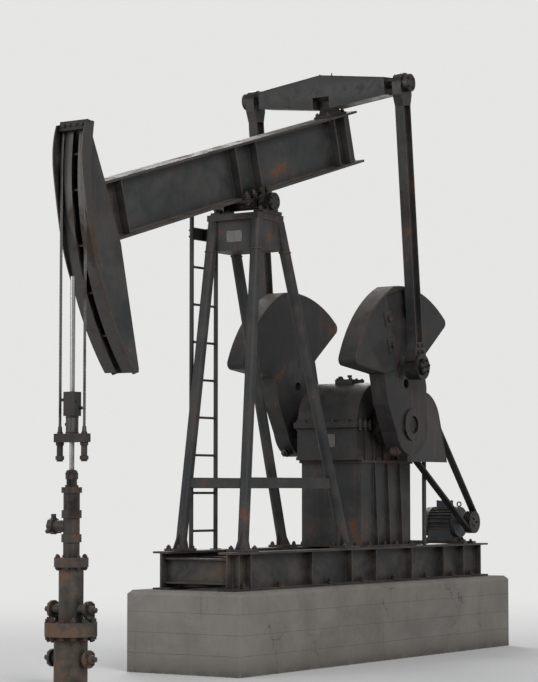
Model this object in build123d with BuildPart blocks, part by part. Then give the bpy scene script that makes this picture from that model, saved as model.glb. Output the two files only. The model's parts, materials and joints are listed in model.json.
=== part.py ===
"""Beam pumping unit over an oil well, standing on its own concrete plinth.

Millimetres. The origin is on the ground under the saddle bearing. +X runs from the well towards the
motor, +Z is up, and +Y is the far side. It stands at the bottom of its stroke, with the head down.
"""
import os
from math import acos, asin, atan2, cos, degrees, hypot, radians, sin

from build123d import *

os.makedirs("parts", exist_ok=True)

# Gaps
SEAT = 0.3  # between a round piece and its seat, and between pieces of two bodies that run close
PIN_END_GAP = 8.0  # from the wrist pin's end to the weights' outer faces

# Plinth and skid
PLINTH_FRONT = -860.0
PLINTH_REAR = 3480.0
PLINTH_WIDTH = 1080.0
PLINTH_HEIGHT = 640.0
PLINTH_CHAMFER = 30.0
SKID_FRONT = -720.0
SKID_REAR = 3360.0
SKID_RAIL_Y = 315.0
SKID_DEPTH = 300.0
SKID_FLANGE_WIDTH = 160.0
SKID_FLANGE = 16.0
SKID_WEB = 11.0
CROSS_DEPTH = 200.0
CROSS_FLANGE_WIDTH = 90.0
CROSS_FLANGE = 12.0
CROSS_WEB = 9.0
CROSS_XS = (-640.0, -180.0, 400.0, 990.0, 1400.0, 2000.0, 2560.0, 3240.0)
STIFFENER_XS = (-640.0, -480.0, 400.0, 1010.0, 1400.0, 2000.0, 2560.0, 2926.0, 3240.0)
SKID_STIFFENER = 12.0
SKID_TOP = PLINTH_HEIGHT + SKID_DEPTH

# Post
PIVOT_HEIGHT = 3750.0
LEG_DIAMETER = 89.0
LEG_TOP = 3600.0
FRONT_LEG_TOP_X = -156.0
FRONT_LEG_TOP_Y = 212.0
FRONT_LEG_FOOT_X = -480.0
FRONT_LEG_FOOT_Y = 302.0
REAR_LEG_TOP_X = 125.0
REAR_LEG_TOP_Y = 233.0
REAR_LEG_FOOT_X = 1010.0
REAR_LEG_FOOT_Y = 311.0
FOOT_PLATE = 20.0
FOOT_LENGTH = 230.0
FOOT_WIDTH = 150.0
GUSSET = 10.0
GUSSET_HEIGHT = 130.0
GUSSET_MARGIN = 14.0
TIE_HEIGHT = 1480.0
TIE_DEPTH = 85.0
TIE_THICKNESS = 40.0
CROSS_TIE_DEPTH = 70.0
CROSS_TIE_THICKNESS = 36.0
HEAD_PLATE_TOP = 3650.0
HEAD_PLATE_LENGTH = 372.0
HEAD_PLATE_WIDTH = 500.0
HEAD_PLATE_X = -12.0
HEAD_BOX_LENGTH = 305.0
HEAD_BOX_WIDTH = 490.0
HEAD_BOX_BOTTOM = 3355.0

# Saddle bearing
SADDLE_SHAFT_DIAMETER = 76.0
SADDLE_BLOCK_Y = 215.0
SADDLE_BLOCK_WIDTH = 90.0
SADDLE_BLOCK_RADIUS = 75.0
SADDLE_BLOCK_LENGTH = 270.0
SADDLE_BLOCK_BASE = 26.0
SADDLE_CAP_RADIUS = 72.0
SADDLE_CAP = 24.0
SADDLE_WIDTH = 300.0
SADDLE_LENGTH = 380.0
SADDLE_PLATE = 20.0
SADDLE_HUB_RADIUS = 56.0
SADDLE_NECK = 44.8
SADDLE_NECK_DROP = 33.6

# Walking beam, with u along it from the pivot to the rear and v square to it
BEAM_TILT = 16.4
BEAM_REAR = 1770.0
BEAM_UNDERSIDE = 52.0
BEAM_DEPTH = 452.0
BEAM_FLANGE_WIDTH = 200.0
BEAM_FLANGE = 20.0
BEAM_WEB = 14.0
BEAM_ROOT_RADIUS = 16.0
STIFFENER = 14.0
STIFFENER_US = (-1700.0, -150.0, 150.0, 1400.0, 1570.0)

# Horsehead
TRACK_RADIUS = 2211.0
TRACK_PLATE = 22.0
TRACK_WIDTH = 280.0
TRACK_TOP_ANGLE = 25.9
TRACK_BOTTOM_ANGLE = -24.7
TRACK_SLOT = 56.0  # open down the middle, so that the rod passes the track at the top of the stroke
HEAD_WIDTH = 204.0
HEAD_PLATE = 12.0
HEAD_BACK_PLATE = 14.0
# Corners of the head's side plates, as shares of the track's radius: ahead along the beam, square to it
HEAD_TOP = (0.89643, 0.40932)
HEAD_SHOULDER = (0.87065, 0.24107)
HEAD_KNEE = (0.84125, 0.01221)
HEAD_BOTTOM = (0.86160, -0.42877)
HEAD_RIB = 12.0
HEAD_RIB_VS = (-620.0, -280.0, 80.0, 485.0, 740.0)
CHEEK = 10.0  # the guards beside the wires, on the track's edges
CHEEK_ANGLES = (-7.0, 4.2, 12.6, 19.0)
CHEEK_HEIGHTS = (0.0, 38.0, 60.0, 90.0)
CHEEK_TOP_ANGLE = 25.0
CHEEK_TOP_HEIGHT = 73.0
ANCHOR_SPAN = 1.8  # degrees of the track that the wires' anchor covers

# Wire lines, carrier bar and rod
WIRE_DIAMETER = 22.0
WIRE_Y = 113.0
WRAP_GAP = 3.0
ROD_DIAMETER = 36.0
ROD_FOOT = 15.0
ROD_TOP = 2975.0
CARRIER_TOP = 1829.0
CARRIER_DEPTH = 62.0
CARRIER_LENGTH = 300.0
CARRIER_WIDTH = 96.0
CELL_TOP = 1957.0
CELL_DIAMETER = 92.0
CLAMP_TOP = 2132.0
CLAMP_SIDE = 104.0
CLAMP_BOLT_HEIGHTS = (2015.0, 2074.0)
CLAMP_BOLT_DIAMETER = 27.0
CLAMP_BOLT_REACH = 18.0
CELL_PLUG_HEIGHT = 1897.0
CELL_PLUG_DIAMETER = 24.0
CELL_PLUG_REACH = 14.0
SOCKET_DIAMETER = 46.0
SOCKET_LENGTH = 140.0
SOCKET_COLLAR = 60.0

# Wellhead
CASING_DIAMETER = 245.0
CASING_TOP = 420.0
CASING_FLANGE_DIAMETER = 380.0
CASING_FLANGE = 50.0
TUBING_HEAD_DIAMETER = 180.0
TUBING_HEAD_TOP = 900.0
TEE_DIAMETER = 120.0
TEE_TOP = 1400.0
TEE_OUTLET_HEIGHT = 1160.0
TEE_OUTLET_DIAMETER = 89.0
TEE_OUTLET_REACH = 190.0
UNION_DIAMETER = 150.0
WELL_BORE = 62.0
OUTLET_HEIGHTS = (210.0, 560.0)  # the side outlets of the casing head and the tubing head
OUTLET_DIAMETER = 76.0
OUTLET_REACH = 175.0
OUTLET_FLANGE_DIAMETER = 130.0
OUTLET_FLANGE = 22.0
BONNET_FLANGE_DIAMETER = 250.0
BONNET_FLANGE = 34.0
COLLAR_DIAMETER = 146.0
COLLAR_DEPTH = 58.0
UNION_NUT_DIAMETER = 122.0
UNION_NUT_DEPTH = 46.0
PACKING_NUT_DIAMETER = 92.0
PACKING_NUT_DEPTH = 34.0
GLAND_DIAMETER = 66.0
GLAND_TOP = 1566.0

# Tail bearing and equalizer
TAIL_X = 1225.0
TAIL_RISE = 207.3  # the tail pin's height over the beam's top
TAIL_SHAFT_DIAMETER = 70.0
STAND_HUB_RADIUS = 78.0
STAND_WIDTH = 150.0
STAND_NECK = 70.0
STAND_BASE = 18.0
STAND_BASE_LENGTH = 300.0
EQ_HALF_SPAN = 640.0
EQ_WIDTH = 210.0
EQ_WALL = 12.0
EQ_TOP_MIDDLE = 140.0
EQ_TOP_END = 58.0
EQ_BOTTOM_MIDDLE = -145.0
EQ_BOTTOM_FLAT = 110.0
EQ_BOTTOM_END = -85.0
EQ_END_PLATE = 20.0
EQ_DIAPHRAGM_Y = 83.0
EQ_DIAPHRAGM = 32.0
EQ_NOTCH_TOP = -45.0

# Pitmans and wrist bearings
PITMAN_Y = 750.0
PITMAN_DEPTH = 115.0
PITMAN_WIDTH = 85.0
PITMAN_FLANGE = 10.0
PITMAN_WEB = 9.0
PITMAN_HEAD_RADIUS = 88.0
PITMAN_HEAD_LENGTH = 190.0
PITMAN_FOOT_LENGTH = 210.0
PITMAN_PIN_DIAMETER = 64.0
PITMAN_CAP_RADIUS = 75.0
PITMAN_CAP = 50.0
WRIST_HOUSING_RADIUS = 108.0
WRIST_HOUSING_WIDTH = 130.0
WRIST_PIN_DIAMETER = 84.0
WRIST_CAP_RADIUS = 70.0
WRIST_CAP = 24.0

# Crank
SHAFT_X = 1590.0
SHAFT_HEIGHT = 1980.0
CRANK_LEAN = 15.3
CRANK_RADIUS = 500.0
CRANK_FACE_INNER = 475.0
CRANK_THICKNESS = 150.0
CRANK_HUB_RADIUS = 262.0
CRANK_HALF_WIDTH = 330.0
CRANK_SHOULDER = 520.0
CRANK_TIP_HALF_WIDTH = 150.0
CRANK_TIP = 1150.0
CRANKSHAFT_DIAMETER = 150.0
CRANK_SPARE_RADII = (360.0,)
CRANK_SPARE_HOLE = 84.0
CRANK_BOSS_RADIUS = 138.0
CRANK_BOSS = 18.0
WEIGHT_EDGE = 9.0
WEIGHT_TOP = 1205.0
WEIGHT_CORNER_X = 802.0
WEIGHT_CORNER_Y = 712.0
WEIGHT_NOSE_RADIUS = 52.0
WEIGHT_WAIST_X = 372.0
WEIGHT_WAIST_Y = 540.0
WEIGHT_BACK_X = 490.0  # where its round back passes
WEIGHT_BACK_Y = 1021.0
WEIGHT_THICKNESS = 175.0
WEIGHT_GAP = 8.0

# Gearbox
GEARBOX_WIDTH = 600.0
GEARBOX_BOTTOM = SHAFT_HEIGHT - 300.0
GEARBOX_FRONT = 1215.0
GEARBOX_REAR = 2255.0
GEARBOX_FLANGE = 24.0
GEARBOX_FLANGE_LIP = 34.0
GEARBOX_BIG_RADIUS = 372.0
GEARBOX_SMALL_RADIUS = 178.0
SHEAVE_SHAFT_X = 2050.0
BEARING_CAP_RADIUS = 150.0
BEARING_CAP_FACE = 400.0
HATCH_LENGTH = 210.0
HATCH_WIDTH = 170.0
HATCH_HEIGHT = 30.0
BREATHER_HEIGHT = 40.0
BREATHER_RADIUS = 20.0
PEDESTAL_FRONT = 1285.0
PEDESTAL_REAR = 2110.0
PEDESTAL_WIDTH = 600.0
PEDESTAL_PLATE = 16.0
PEDESTAL_CAP = 24.0
PEDESTAL_FOOT = 16.0
PEDESTAL_FOOT_REACH = 62.0
PEDESTAL_RIB = 12.0
PEDESTAL_RIBS = 3
GEARBOX_FOOT = 28.0
GEARBOX_FOOT_LENGTH = 80.0
GEARBOX_FOOT_XS = (1260.0, 1560.0, 1950.0)
GEARBOX_RIB = 18.0
GEARBOX_RIB_XS = (1340.0, 1480.0, 1640.0, 1800.0, 2160.0)
MIDDLE_SHAFT_X = 1862.0
MIDDLE_COVER_RADIUS = 92.0
PINION_COVER_RADIUS = 84.0
SHAFT_COVER = 20.0
LIFTING_LUG_RADIUS = 38.0
LIFTING_LUG = 18.0
LIFTING_LUG_X = 1760.0

# Belt drive and motor
UNIT_SHEAVE_RADIUS = 275.0
UNIT_SHEAVE_WIDTH = 74.0
SHEAVE_SHAFT_DIAMETER = 56.0
BELT_Y = -410.0
BELT_SIZE = 19.0
BELT_COUNT = 3
BELT_PITCH = 22.0
SHEAVE_RIM = 22.0
SHEAVE_HUB_RADIUS = 66.0
SHEAVE_SPOKE = 44.0
SHEAVE_SPOKES = 5
MOTOR_X = 3018.0
MOTOR_SHAFT_HEIGHT = 1135.0
MOTOR_SHEAVE_RADIUS = 100.0
MOTOR_SHAFT_DIAMETER = 42.0
MOTOR_RADIUS = 138.0
MOTOR_LENGTH = 330.0
MOTOR_BASE_SPAN = 235.0
MOTOR_BASE_LENGTH = 231.0
MOTOR_RAIL_OFFSET = 83.0
MOTOR_RAIL_WIDTH = 55.0
MOTOR_SHIELD = 30.0
MOTOR_COWL = 62.0
MOTOR_COWL_STEP = 5.0
FIN_COUNT = 24
FIN_HEIGHT = 18.0
FIN = 4.0
TERMINAL_BOX = 120.0
TERMINAL_BOX_WIDTH = 96.0
TERMINAL_BOX_HEIGHT = 52.0
MOTOR_FRONT_Y = -300.0
MOTOR_RAIL_HEIGHT = 22.0
GUARD_TOP_RADIUS = 304.0
GUARD_SHEET = 4.0
GUARD_OUTER_Y = -464.0
GUARD_INNER_Y = -360.0
GUARD_BOTTOM = SHAFT_HEIGHT - 310.0
GUARD_FRONT_FOOT = 1790.0
GUARD_REAR_FOOT = 2475.0
GUARD_POST_DIAMETER = 38.0
GUARD_POST_X = 2266.0
GUARD_POST_Y = -350.0
GUARD_POST_TOP = SHAFT_HEIGHT - 280.0
GUARD_SLOPE = 22.0
GUARD_BRACKET = 14.0
GUARD_BRACKET_WIDTH = 50.0
GUARD_BRACKET_X = 1860.0
GUARD_RIM_END = SHAFT_HEIGHT + 120.0  # the rear rim stops here, above the belts

# Ladder
LADDER_Y = 350.0
LADDER_FRONT = -270.0
LADDER_REAR = 69.0
LADDER_RAIL = 36.0
LADDER_RUNG_DIAMETER = 20.0
LADDER_FOOT = 8.0
LADDER_FOOT_SIDE = 66.0
LADDER_PITCH = 305.6
LADDER_RUNGS = 8
LADDER_FIRST_RUNG = 1094.0
LADDER_TOP = 3640.0
LADDER_BRACKET_HEIGHT = 3506.0
LADDER_BRACKET_DEPTH = 100.0
LADDER_BRACKET = 10.0
LADDER_BRACKET_FRONT = -90.0
LADDER_BRACKET_REAR = 50.0

# Sizes that follow from those above
LEG_RADIUS = LEG_DIAMETER / 2
HEAD_TOP_U, HEAD_TOP_V = -HEAD_TOP[0] * TRACK_RADIUS, HEAD_TOP[1] * TRACK_RADIUS
HEAD_SHOULDER_U, HEAD_SHOULDER_V = -HEAD_SHOULDER[0] * TRACK_RADIUS, HEAD_SHOULDER[1] * TRACK_RADIUS
HEAD_KNEE_U, HEAD_KNEE_V = -HEAD_KNEE[0] * TRACK_RADIUS, HEAD_KNEE[1] * TRACK_RADIUS
HEAD_BOTTOM_U, HEAD_BOTTOM_V = -HEAD_BOTTOM[0] * TRACK_RADIUS, HEAD_BOTTOM[1] * TRACK_RADIUS
BEAM_TOP = BEAM_UNDERSIDE + BEAM_DEPTH
TILT = radians(BEAM_TILT)
PIVOT = Vector(0, 0, PIVOT_HEIGHT)
ALONG_BEAM = Vector(cos(TILT), 0, sin(TILT))
SQUARE_TO_BEAM = Vector(-sin(TILT), 0, cos(TILT))
TAIL_V = BEAM_TOP + TAIL_RISE
TAIL_U = (TAIL_X + TAIL_V * sin(TILT)) / cos(TILT)
TAIL = PIVOT + ALONG_BEAM * TAIL_U + SQUARE_TO_BEAM * TAIL_V
LEAN = radians(CRANK_LEAN)
SHAFT = Vector(SHAFT_X, 0, SHAFT_HEIGHT)
CRANK_OUT = Vector(-sin(LEAN), 0, cos(LEAN))
CRANK_SIDE = Vector(cos(LEAN), 0, sin(LEAN))
WRIST = SHAFT + CRANK_OUT * CRANK_RADIUS
PITMAN_LENGTH = (WRIST - TAIL).length
PITMAN_UP = (TAIL - WRIST).normalized()
PITMAN_SIDE = Vector(PITMAN_UP.Z, 0, -PITMAN_UP.X)
CRANK_FACE_OUTER = CRANK_FACE_INNER + CRANK_THICKNESS
WRIST_PIN_START = CRANK_FACE_INNER + WEIGHT_THICKNESS + PIN_END_GAP
WIRE_RADIUS = WIRE_DIAMETER / 2
WIRE_TRACK = TRACK_RADIUS + WIRE_RADIUS + SEAT
ROD_X = -WIRE_TRACK
ROD_RADIUS = ROD_DIAMETER / 2

# Sketch planes of the pieces that lean, each seen from the near side
BEAM_PLANE = Plane(origin=PIVOT, x_dir=ALONG_BEAM, z_dir=(0, -1, 0))
CRANK_PLANE = Plane(origin=SHAFT, x_dir=CRANK_SIDE, z_dir=(0, -1, 0))
PITMAN_PLANE = Plane(origin=TAIL, x_dir=PITMAN_SIDE, z_dir=(0, -1, 0))
SIDE_PLANE = Plane(origin=(0, 0, 0), x_dir=(1, 0, 0), z_dir=(0, -1, 0))
PIVOT_PLANE = Plane(origin=PIVOT, x_dir=(1, 0, 0), z_dir=(0, -1, 0))


def i_section(depth, width, flange, web, root=0.0):
    """An I-beam's section, centred, with its depth along the sketch's y."""
    with BuildSketch(mode=Mode.PRIVATE) as section:
        Rectangle(web, depth)
        with Locations((0, (depth - flange) / 2), (0, (flange - depth) / 2)):
            Rectangle(width, flange)
        if root > 0:
            inner = [v for v in section.vertices() if abs(abs(v.X) - web / 2) < 0.01]
            fillet(inner, root)
    return section.sketch


def at_y(plane, y):
    """The same plane, moved so that its sketches lie at y."""
    return plane.offset(-y - plane.origin.Y)


def leg_point(top, foot, z):
    """Where a leg's axis is at height z, from its ends as (x, y)."""
    share = (LEG_TOP - z) / (LEG_TOP - SKID_TOP)
    return top[0] + (foot[0] - top[0]) * share, top[1] + (foot[1] - top[1]) * share


FRONT_TOP = (FRONT_LEG_TOP_X, FRONT_LEG_TOP_Y)
FRONT_FOOT = (FRONT_LEG_FOOT_X, FRONT_LEG_FOOT_Y)
REAR_TOP = (REAR_LEG_TOP_X, REAR_LEG_TOP_Y)
REAR_FOOT = (REAR_LEG_FOOT_X, REAR_LEG_FOOT_Y)


def leg_rod(top, foot, side, radius, z_low, z_high):
    """A round bar along a leg's axis, reaching past both heights, cut level at them."""
    x_low, y_low = leg_point(top, foot, z_low - 2 * radius)
    x_high, y_high = leg_point(top, foot, z_high + 2 * radius)
    low = Vector(x_low, side * y_low, z_low - 2 * radius)
    high = Vector(x_high, side * y_high, z_high + 2 * radius)
    with BuildPart(mode=Mode.PRIVATE) as rod:
        with BuildSketch(Plane(origin=low, z_dir=high - low)):
            Circle(radius)
        extrude(amount=(high - low).length)
        split(bisect_by=Plane.XY.offset(z_high), keep=Keep.BOTTOM)
        split(bisect_by=Plane.XY.offset(z_low), keep=Keep.TOP)
    return rod.part


# Concrete plinth
with BuildPart() as foundation:
    with BuildSketch():
        with Locations(((PLINTH_FRONT + PLINTH_REAR) / 2, 0)):
            Rectangle(PLINTH_REAR - PLINTH_FRONT, PLINTH_WIDTH)
    extrude(amount=PLINTH_HEIGHT)
    chamfer(foundation.faces().sort_by(Axis.Z)[-1].edges(), PLINTH_CHAMFER)

# Skid: two rails along X, with cross members seated between their webs
with BuildPart() as skid_rails:
    rail_start = (SKID_FRONT, 0, PLINTH_HEIGHT + SKID_DEPTH / 2)
    with BuildSketch(Plane(origin=rail_start, x_dir=(0, 1, 0), z_dir=(1, 0, 0))):
        with Locations((SKID_RAIL_Y, 0), (-SKID_RAIL_Y, 0)):
            add(i_section(SKID_DEPTH, SKID_FLANGE_WIDTH, SKID_FLANGE, SKID_WEB))
    extrude(amount=SKID_REAR - SKID_FRONT)
    stiffener_reach = (SKID_FLANGE_WIDTH - SKID_WEB) / 2 - GUSSET_MARGIN
    for x in STIFFENER_XS:
        for side in (1, -1):
            stiffener_y = side * (SKID_RAIL_Y + (SKID_WEB + stiffener_reach) / 2)
            with Locations((x, stiffener_y, PLINTH_HEIGHT + SKID_DEPTH / 2)):
                Box(SKID_STIFFENER, stiffener_reach, SKID_DEPTH - 2 * SKID_FLANGE)

with BuildPart() as skid_cross_members:
    cross_length = 2 * SKID_RAIL_Y - SKID_WEB
    cross_start = (0, -cross_length / 2, PLINTH_HEIGHT + SKID_DEPTH / 2)
    with BuildSketch(Plane(origin=cross_start, x_dir=(-1, 0, 0), z_dir=(0, 1, 0))):
        with Locations([(-x, 0) for x in CROSS_XS]):
            add(i_section(CROSS_DEPTH, CROSS_FLANGE_WIDTH, CROSS_FLANGE, CROSS_WEB))
    extrude(amount=cross_length)

# Post: four pipe legs on foot plates
def legs_on_feet(top, foot):
    """A pair of legs, near and far, each on its foot plate."""
    with BuildPart(mode=Mode.PRIVATE) as pair:
        for side in (1, -1):
            add(leg_rod(top, foot, side, LEG_RADIUS, SKID_TOP + FOOT_PLATE, LEG_TOP))
            foot_x, foot_y = leg_point(top, foot, SKID_TOP)
            with Locations((foot_x, side * foot_y, SKID_TOP)):
                Box(FOOT_LENGTH, FOOT_WIDTH, FOOT_PLATE, align=(Align.CENTER, Align.CENTER, Align.MIN))
            gusset_x, gusset_y = leg_point(top, foot, SKID_TOP + FOOT_PLATE + GUSSET_HEIGHT)
            gusset_base = FOOT_LENGTH / 2 - GUSSET_MARGIN
            with BuildSketch(at_y(SIDE_PLANE, side * (foot_y + gusset_y) / 2)):
                with BuildLine():
                    Polyline(
                        (foot_x - gusset_base, SKID_TOP + FOOT_PLATE),
                        (foot_x + gusset_base, SKID_TOP + FOOT_PLATE),
                        (gusset_x + LEG_RADIUS, SKID_TOP + FOOT_PLATE + GUSSET_HEIGHT),
                        (gusset_x - LEG_RADIUS, SKID_TOP + FOOT_PLATE + GUSSET_HEIGHT),
                        close=True,
                    )
                make_face()
            extrude(amount=GUSSET / 2, both=True)
    return pair.part


with BuildPart() as front_legs:
    add(legs_on_feet(FRONT_TOP, FRONT_FOOT))

with BuildPart() as rear_legs:
    add(legs_on_feet(REAR_TOP, REAR_FOOT))


def leg_seats(z_low, z_high):
    """The space that the four legs need, with their seat gap, between two heights."""
    with BuildPart(mode=Mode.PRIVATE) as seats:
        for top, foot in ((FRONT_TOP, FRONT_FOOT), (REAR_TOP, REAR_FOOT)):
            for side in (1, -1):
                add(leg_rod(top, foot, side, LEG_RADIUS + SEAT, z_low, z_high))
    return seats.part


with BuildPart() as side_ties:
    front_x, front_y = leg_point(FRONT_TOP, FRONT_FOOT, TIE_HEIGHT)
    rear_x, rear_y = leg_point(REAR_TOP, REAR_FOOT, TIE_HEIGHT)
    for side in (1, -1):
        with Locations(((front_x + rear_x) / 2, side * (front_y + rear_y) / 2, TIE_HEIGHT)):
            Box(rear_x - front_x, TIE_THICKNESS, TIE_DEPTH)
    add(leg_seats(TIE_HEIGHT - TIE_DEPTH, TIE_HEIGHT + TIE_DEPTH), mode=Mode.SUBTRACT)

with BuildPart() as cross_ties:
    for top, foot in ((FRONT_TOP, FRONT_FOOT), (REAR_TOP, REAR_FOOT)):
        tie_x, tie_y = leg_point(top, foot, TIE_HEIGHT)
        with Locations((tie_x, 0, TIE_HEIGHT)):
            Box(CROSS_TIE_THICKNESS, 2 * tie_y, CROSS_TIE_DEPTH)
    add(leg_seats(TIE_HEIGHT - CROSS_TIE_DEPTH, TIE_HEIGHT + CROSS_TIE_DEPTH), mode=Mode.SUBTRACT)

# Post head: a plate on a block that the legs' tops are let into
with BuildPart() as post_head:
    with Locations((HEAD_PLATE_X, 0, LEG_TOP)):
        Box(
            HEAD_PLATE_LENGTH, HEAD_PLATE_WIDTH, HEAD_PLATE_TOP - LEG_TOP,
            align=(Align.CENTER, Align.CENTER, Align.MIN),
        )
    with Locations((HEAD_PLATE_X, 0, HEAD_BOX_BOTTOM)):
        Box(
            HEAD_BOX_LENGTH, HEAD_BOX_WIDTH, LEG_TOP - HEAD_BOX_BOTTOM,
            align=(Align.CENTER, Align.CENTER, Align.MIN),
        )
    add(leg_seats(HEAD_BOX_BOTTOM - LEG_DIAMETER, LEG_TOP), mode=Mode.SUBTRACT)

# Saddle bearing blocks, with the bore that the shaft runs in and a round end cap
with BuildPart() as saddle_bearings:
    bearing_drop = PIVOT_HEIGHT - HEAD_PLATE_TOP
    for side in (1, -1):
        inner_y = side * (SADDLE_BLOCK_Y - SADDLE_BLOCK_WIDTH / 2)
        with BuildSketch(at_y(PIVOT_PLANE, inner_y)):
            Circle(SADDLE_BLOCK_RADIUS)
            with Locations((0, -bearing_drop / 2)):
                Rectangle(2 * SADDLE_BLOCK_RADIUS, bearing_drop)
            with Locations((0, SADDLE_BLOCK_BASE / 2 - bearing_drop)):
                Rectangle(SADDLE_BLOCK_LENGTH, SADDLE_BLOCK_BASE)
            Circle(SADDLE_SHAFT_DIAMETER / 2 + SEAT, mode=Mode.SUBTRACT)
        extrude(amount=-side * SADDLE_BLOCK_WIDTH)
        with BuildSketch(at_y(PIVOT_PLANE, inner_y + side * SADDLE_BLOCK_WIDTH)):
            Circle(SADDLE_CAP_RADIUS)
        extrude(amount=-side * SADDLE_CAP)

# Saddle: a casting under the beam, round below, that holds the shaft
with BuildPart() as saddle:
    with BuildSketch(BEAM_PLANE):
        Circle(SADDLE_HUB_RADIUS)
        with Locations((0, BEAM_UNDERSIDE - SADDLE_PLATE / 2)):
            Rectangle(SADDLE_LENGTH, SADDLE_PLATE)
        with BuildLine():
            Polyline(
                (-SADDLE_LENGTH / 3, BEAM_UNDERSIDE - SADDLE_PLATE),
                (-SADDLE_NECK, -SADDLE_NECK_DROP),
                (SADDLE_NECK, -SADDLE_NECK_DROP),
                (SADDLE_LENGTH / 3, BEAM_UNDERSIDE - SADDLE_PLATE),
                close=True,
            )
        make_face()
        with Locations((0, BEAM_UNDERSIDE + SADDLE_HUB_RADIUS)):
            Rectangle(SADDLE_LENGTH, 2 * SADDLE_HUB_RADIUS, mode=Mode.SUBTRACT)
        Circle(SADDLE_SHAFT_DIAMETER / 2 + SEAT, mode=Mode.SUBTRACT)
    extrude(amount=SADDLE_WIDTH / 2, both=True)

with BuildPart() as saddle_shaft:
    with BuildSketch(BEAM_PLANE):
        Circle(SADDLE_SHAFT_DIAMETER / 2)
    extrude(amount=SADDLE_BLOCK_Y + SADDLE_BLOCK_WIDTH / 2 - SEAT, both=True)

# Walking beam: one rolled beam with web stiffeners
with BuildPart() as walking_beam:
    beam_start = PIVOT + ALONG_BEAM * HEAD_SHOULDER_U + SQUARE_TO_BEAM * (BEAM_UNDERSIDE + BEAM_DEPTH / 2)
    with BuildSketch(Plane(origin=beam_start, x_dir=(0, 1, 0), z_dir=ALONG_BEAM)):
        add(i_section(BEAM_DEPTH, BEAM_FLANGE_WIDTH, BEAM_FLANGE, BEAM_WEB, BEAM_ROOT_RADIUS))
    extrude(amount=BEAM_REAR - HEAD_SHOULDER_U)
    with BuildSketch(BEAM_PLANE):
        with BuildLine():
            Polyline(
                (HEAD_SHOULDER_U, HEAD_SHOULDER_V),
                (HEAD_KNEE_U, HEAD_KNEE_V),
                (HEAD_SHOULDER_U - BEAM_DEPTH, HEAD_KNEE_V),
                (HEAD_SHOULDER_U - BEAM_DEPTH, HEAD_SHOULDER_V),
                close=True,
            )
        make_face()
    extrude(amount=BEAM_FLANGE_WIDTH, both=True, mode=Mode.SUBTRACT)
    with BuildSketch(BEAM_PLANE):
        with Locations([(u, BEAM_UNDERSIDE + BEAM_DEPTH / 2) for u in STIFFENER_US]):
            Rectangle(STIFFENER, BEAM_DEPTH - BEAM_FLANGE)
    extrude(amount=BEAM_FLANGE_WIDTH / 2 - STIFFENER, both=True)

# Horsehead: side plates, ribs and a back plate behind a curved track
def on_track(radius, angle):
    """A point of the head at an angle above the beam's line, from the pivot."""
    return -radius * cos(radians(angle)), radius * sin(radians(angle))


TRACK_INNER = TRACK_RADIUS - TRACK_PLATE


def head_profile():
    """The head's side outline, from behind the track to its straight back edges."""
    top_angle = degrees(asin(HEAD_TOP_V / TRACK_INNER))
    bottom_angle = degrees(asin(HEAD_BOTTOM_V / TRACK_INNER))
    middle_angle = (top_angle + bottom_angle) / 2
    with BuildSketch(mode=Mode.PRIVATE) as profile:
        with BuildLine():
            ThreePointArc(
                on_track(TRACK_INNER, top_angle),
                on_track(TRACK_INNER, middle_angle),
                on_track(TRACK_INNER, bottom_angle),
            )
            Polyline(
                on_track(TRACK_INNER, bottom_angle),
                (HEAD_BOTTOM_U, HEAD_BOTTOM_V),
                (HEAD_KNEE_U, HEAD_KNEE_V),
                (HEAD_SHOULDER_U, HEAD_SHOULDER_V),
                (HEAD_TOP_U, HEAD_TOP_V),
                on_track(TRACK_INNER, top_angle),
            )
        make_face()
    return profile.sketch


with BuildPart() as head_side_plates:
    for side in (1, -1):
        with BuildSketch(at_y(BEAM_PLANE, side * HEAD_WIDTH / 2)):
            add(head_profile())
        extrude(amount=side * HEAD_PLATE)

with BuildPart() as head_back_plate:
    with BuildSketch(BEAM_PLANE):
        add(head_profile())
        with Locations((-HEAD_BACK_PLATE, 0)):
            add(head_profile(), mode=Mode.SUBTRACT)
    extrude(amount=HEAD_WIDTH / 2 - HEAD_PLATE, both=True)

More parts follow.
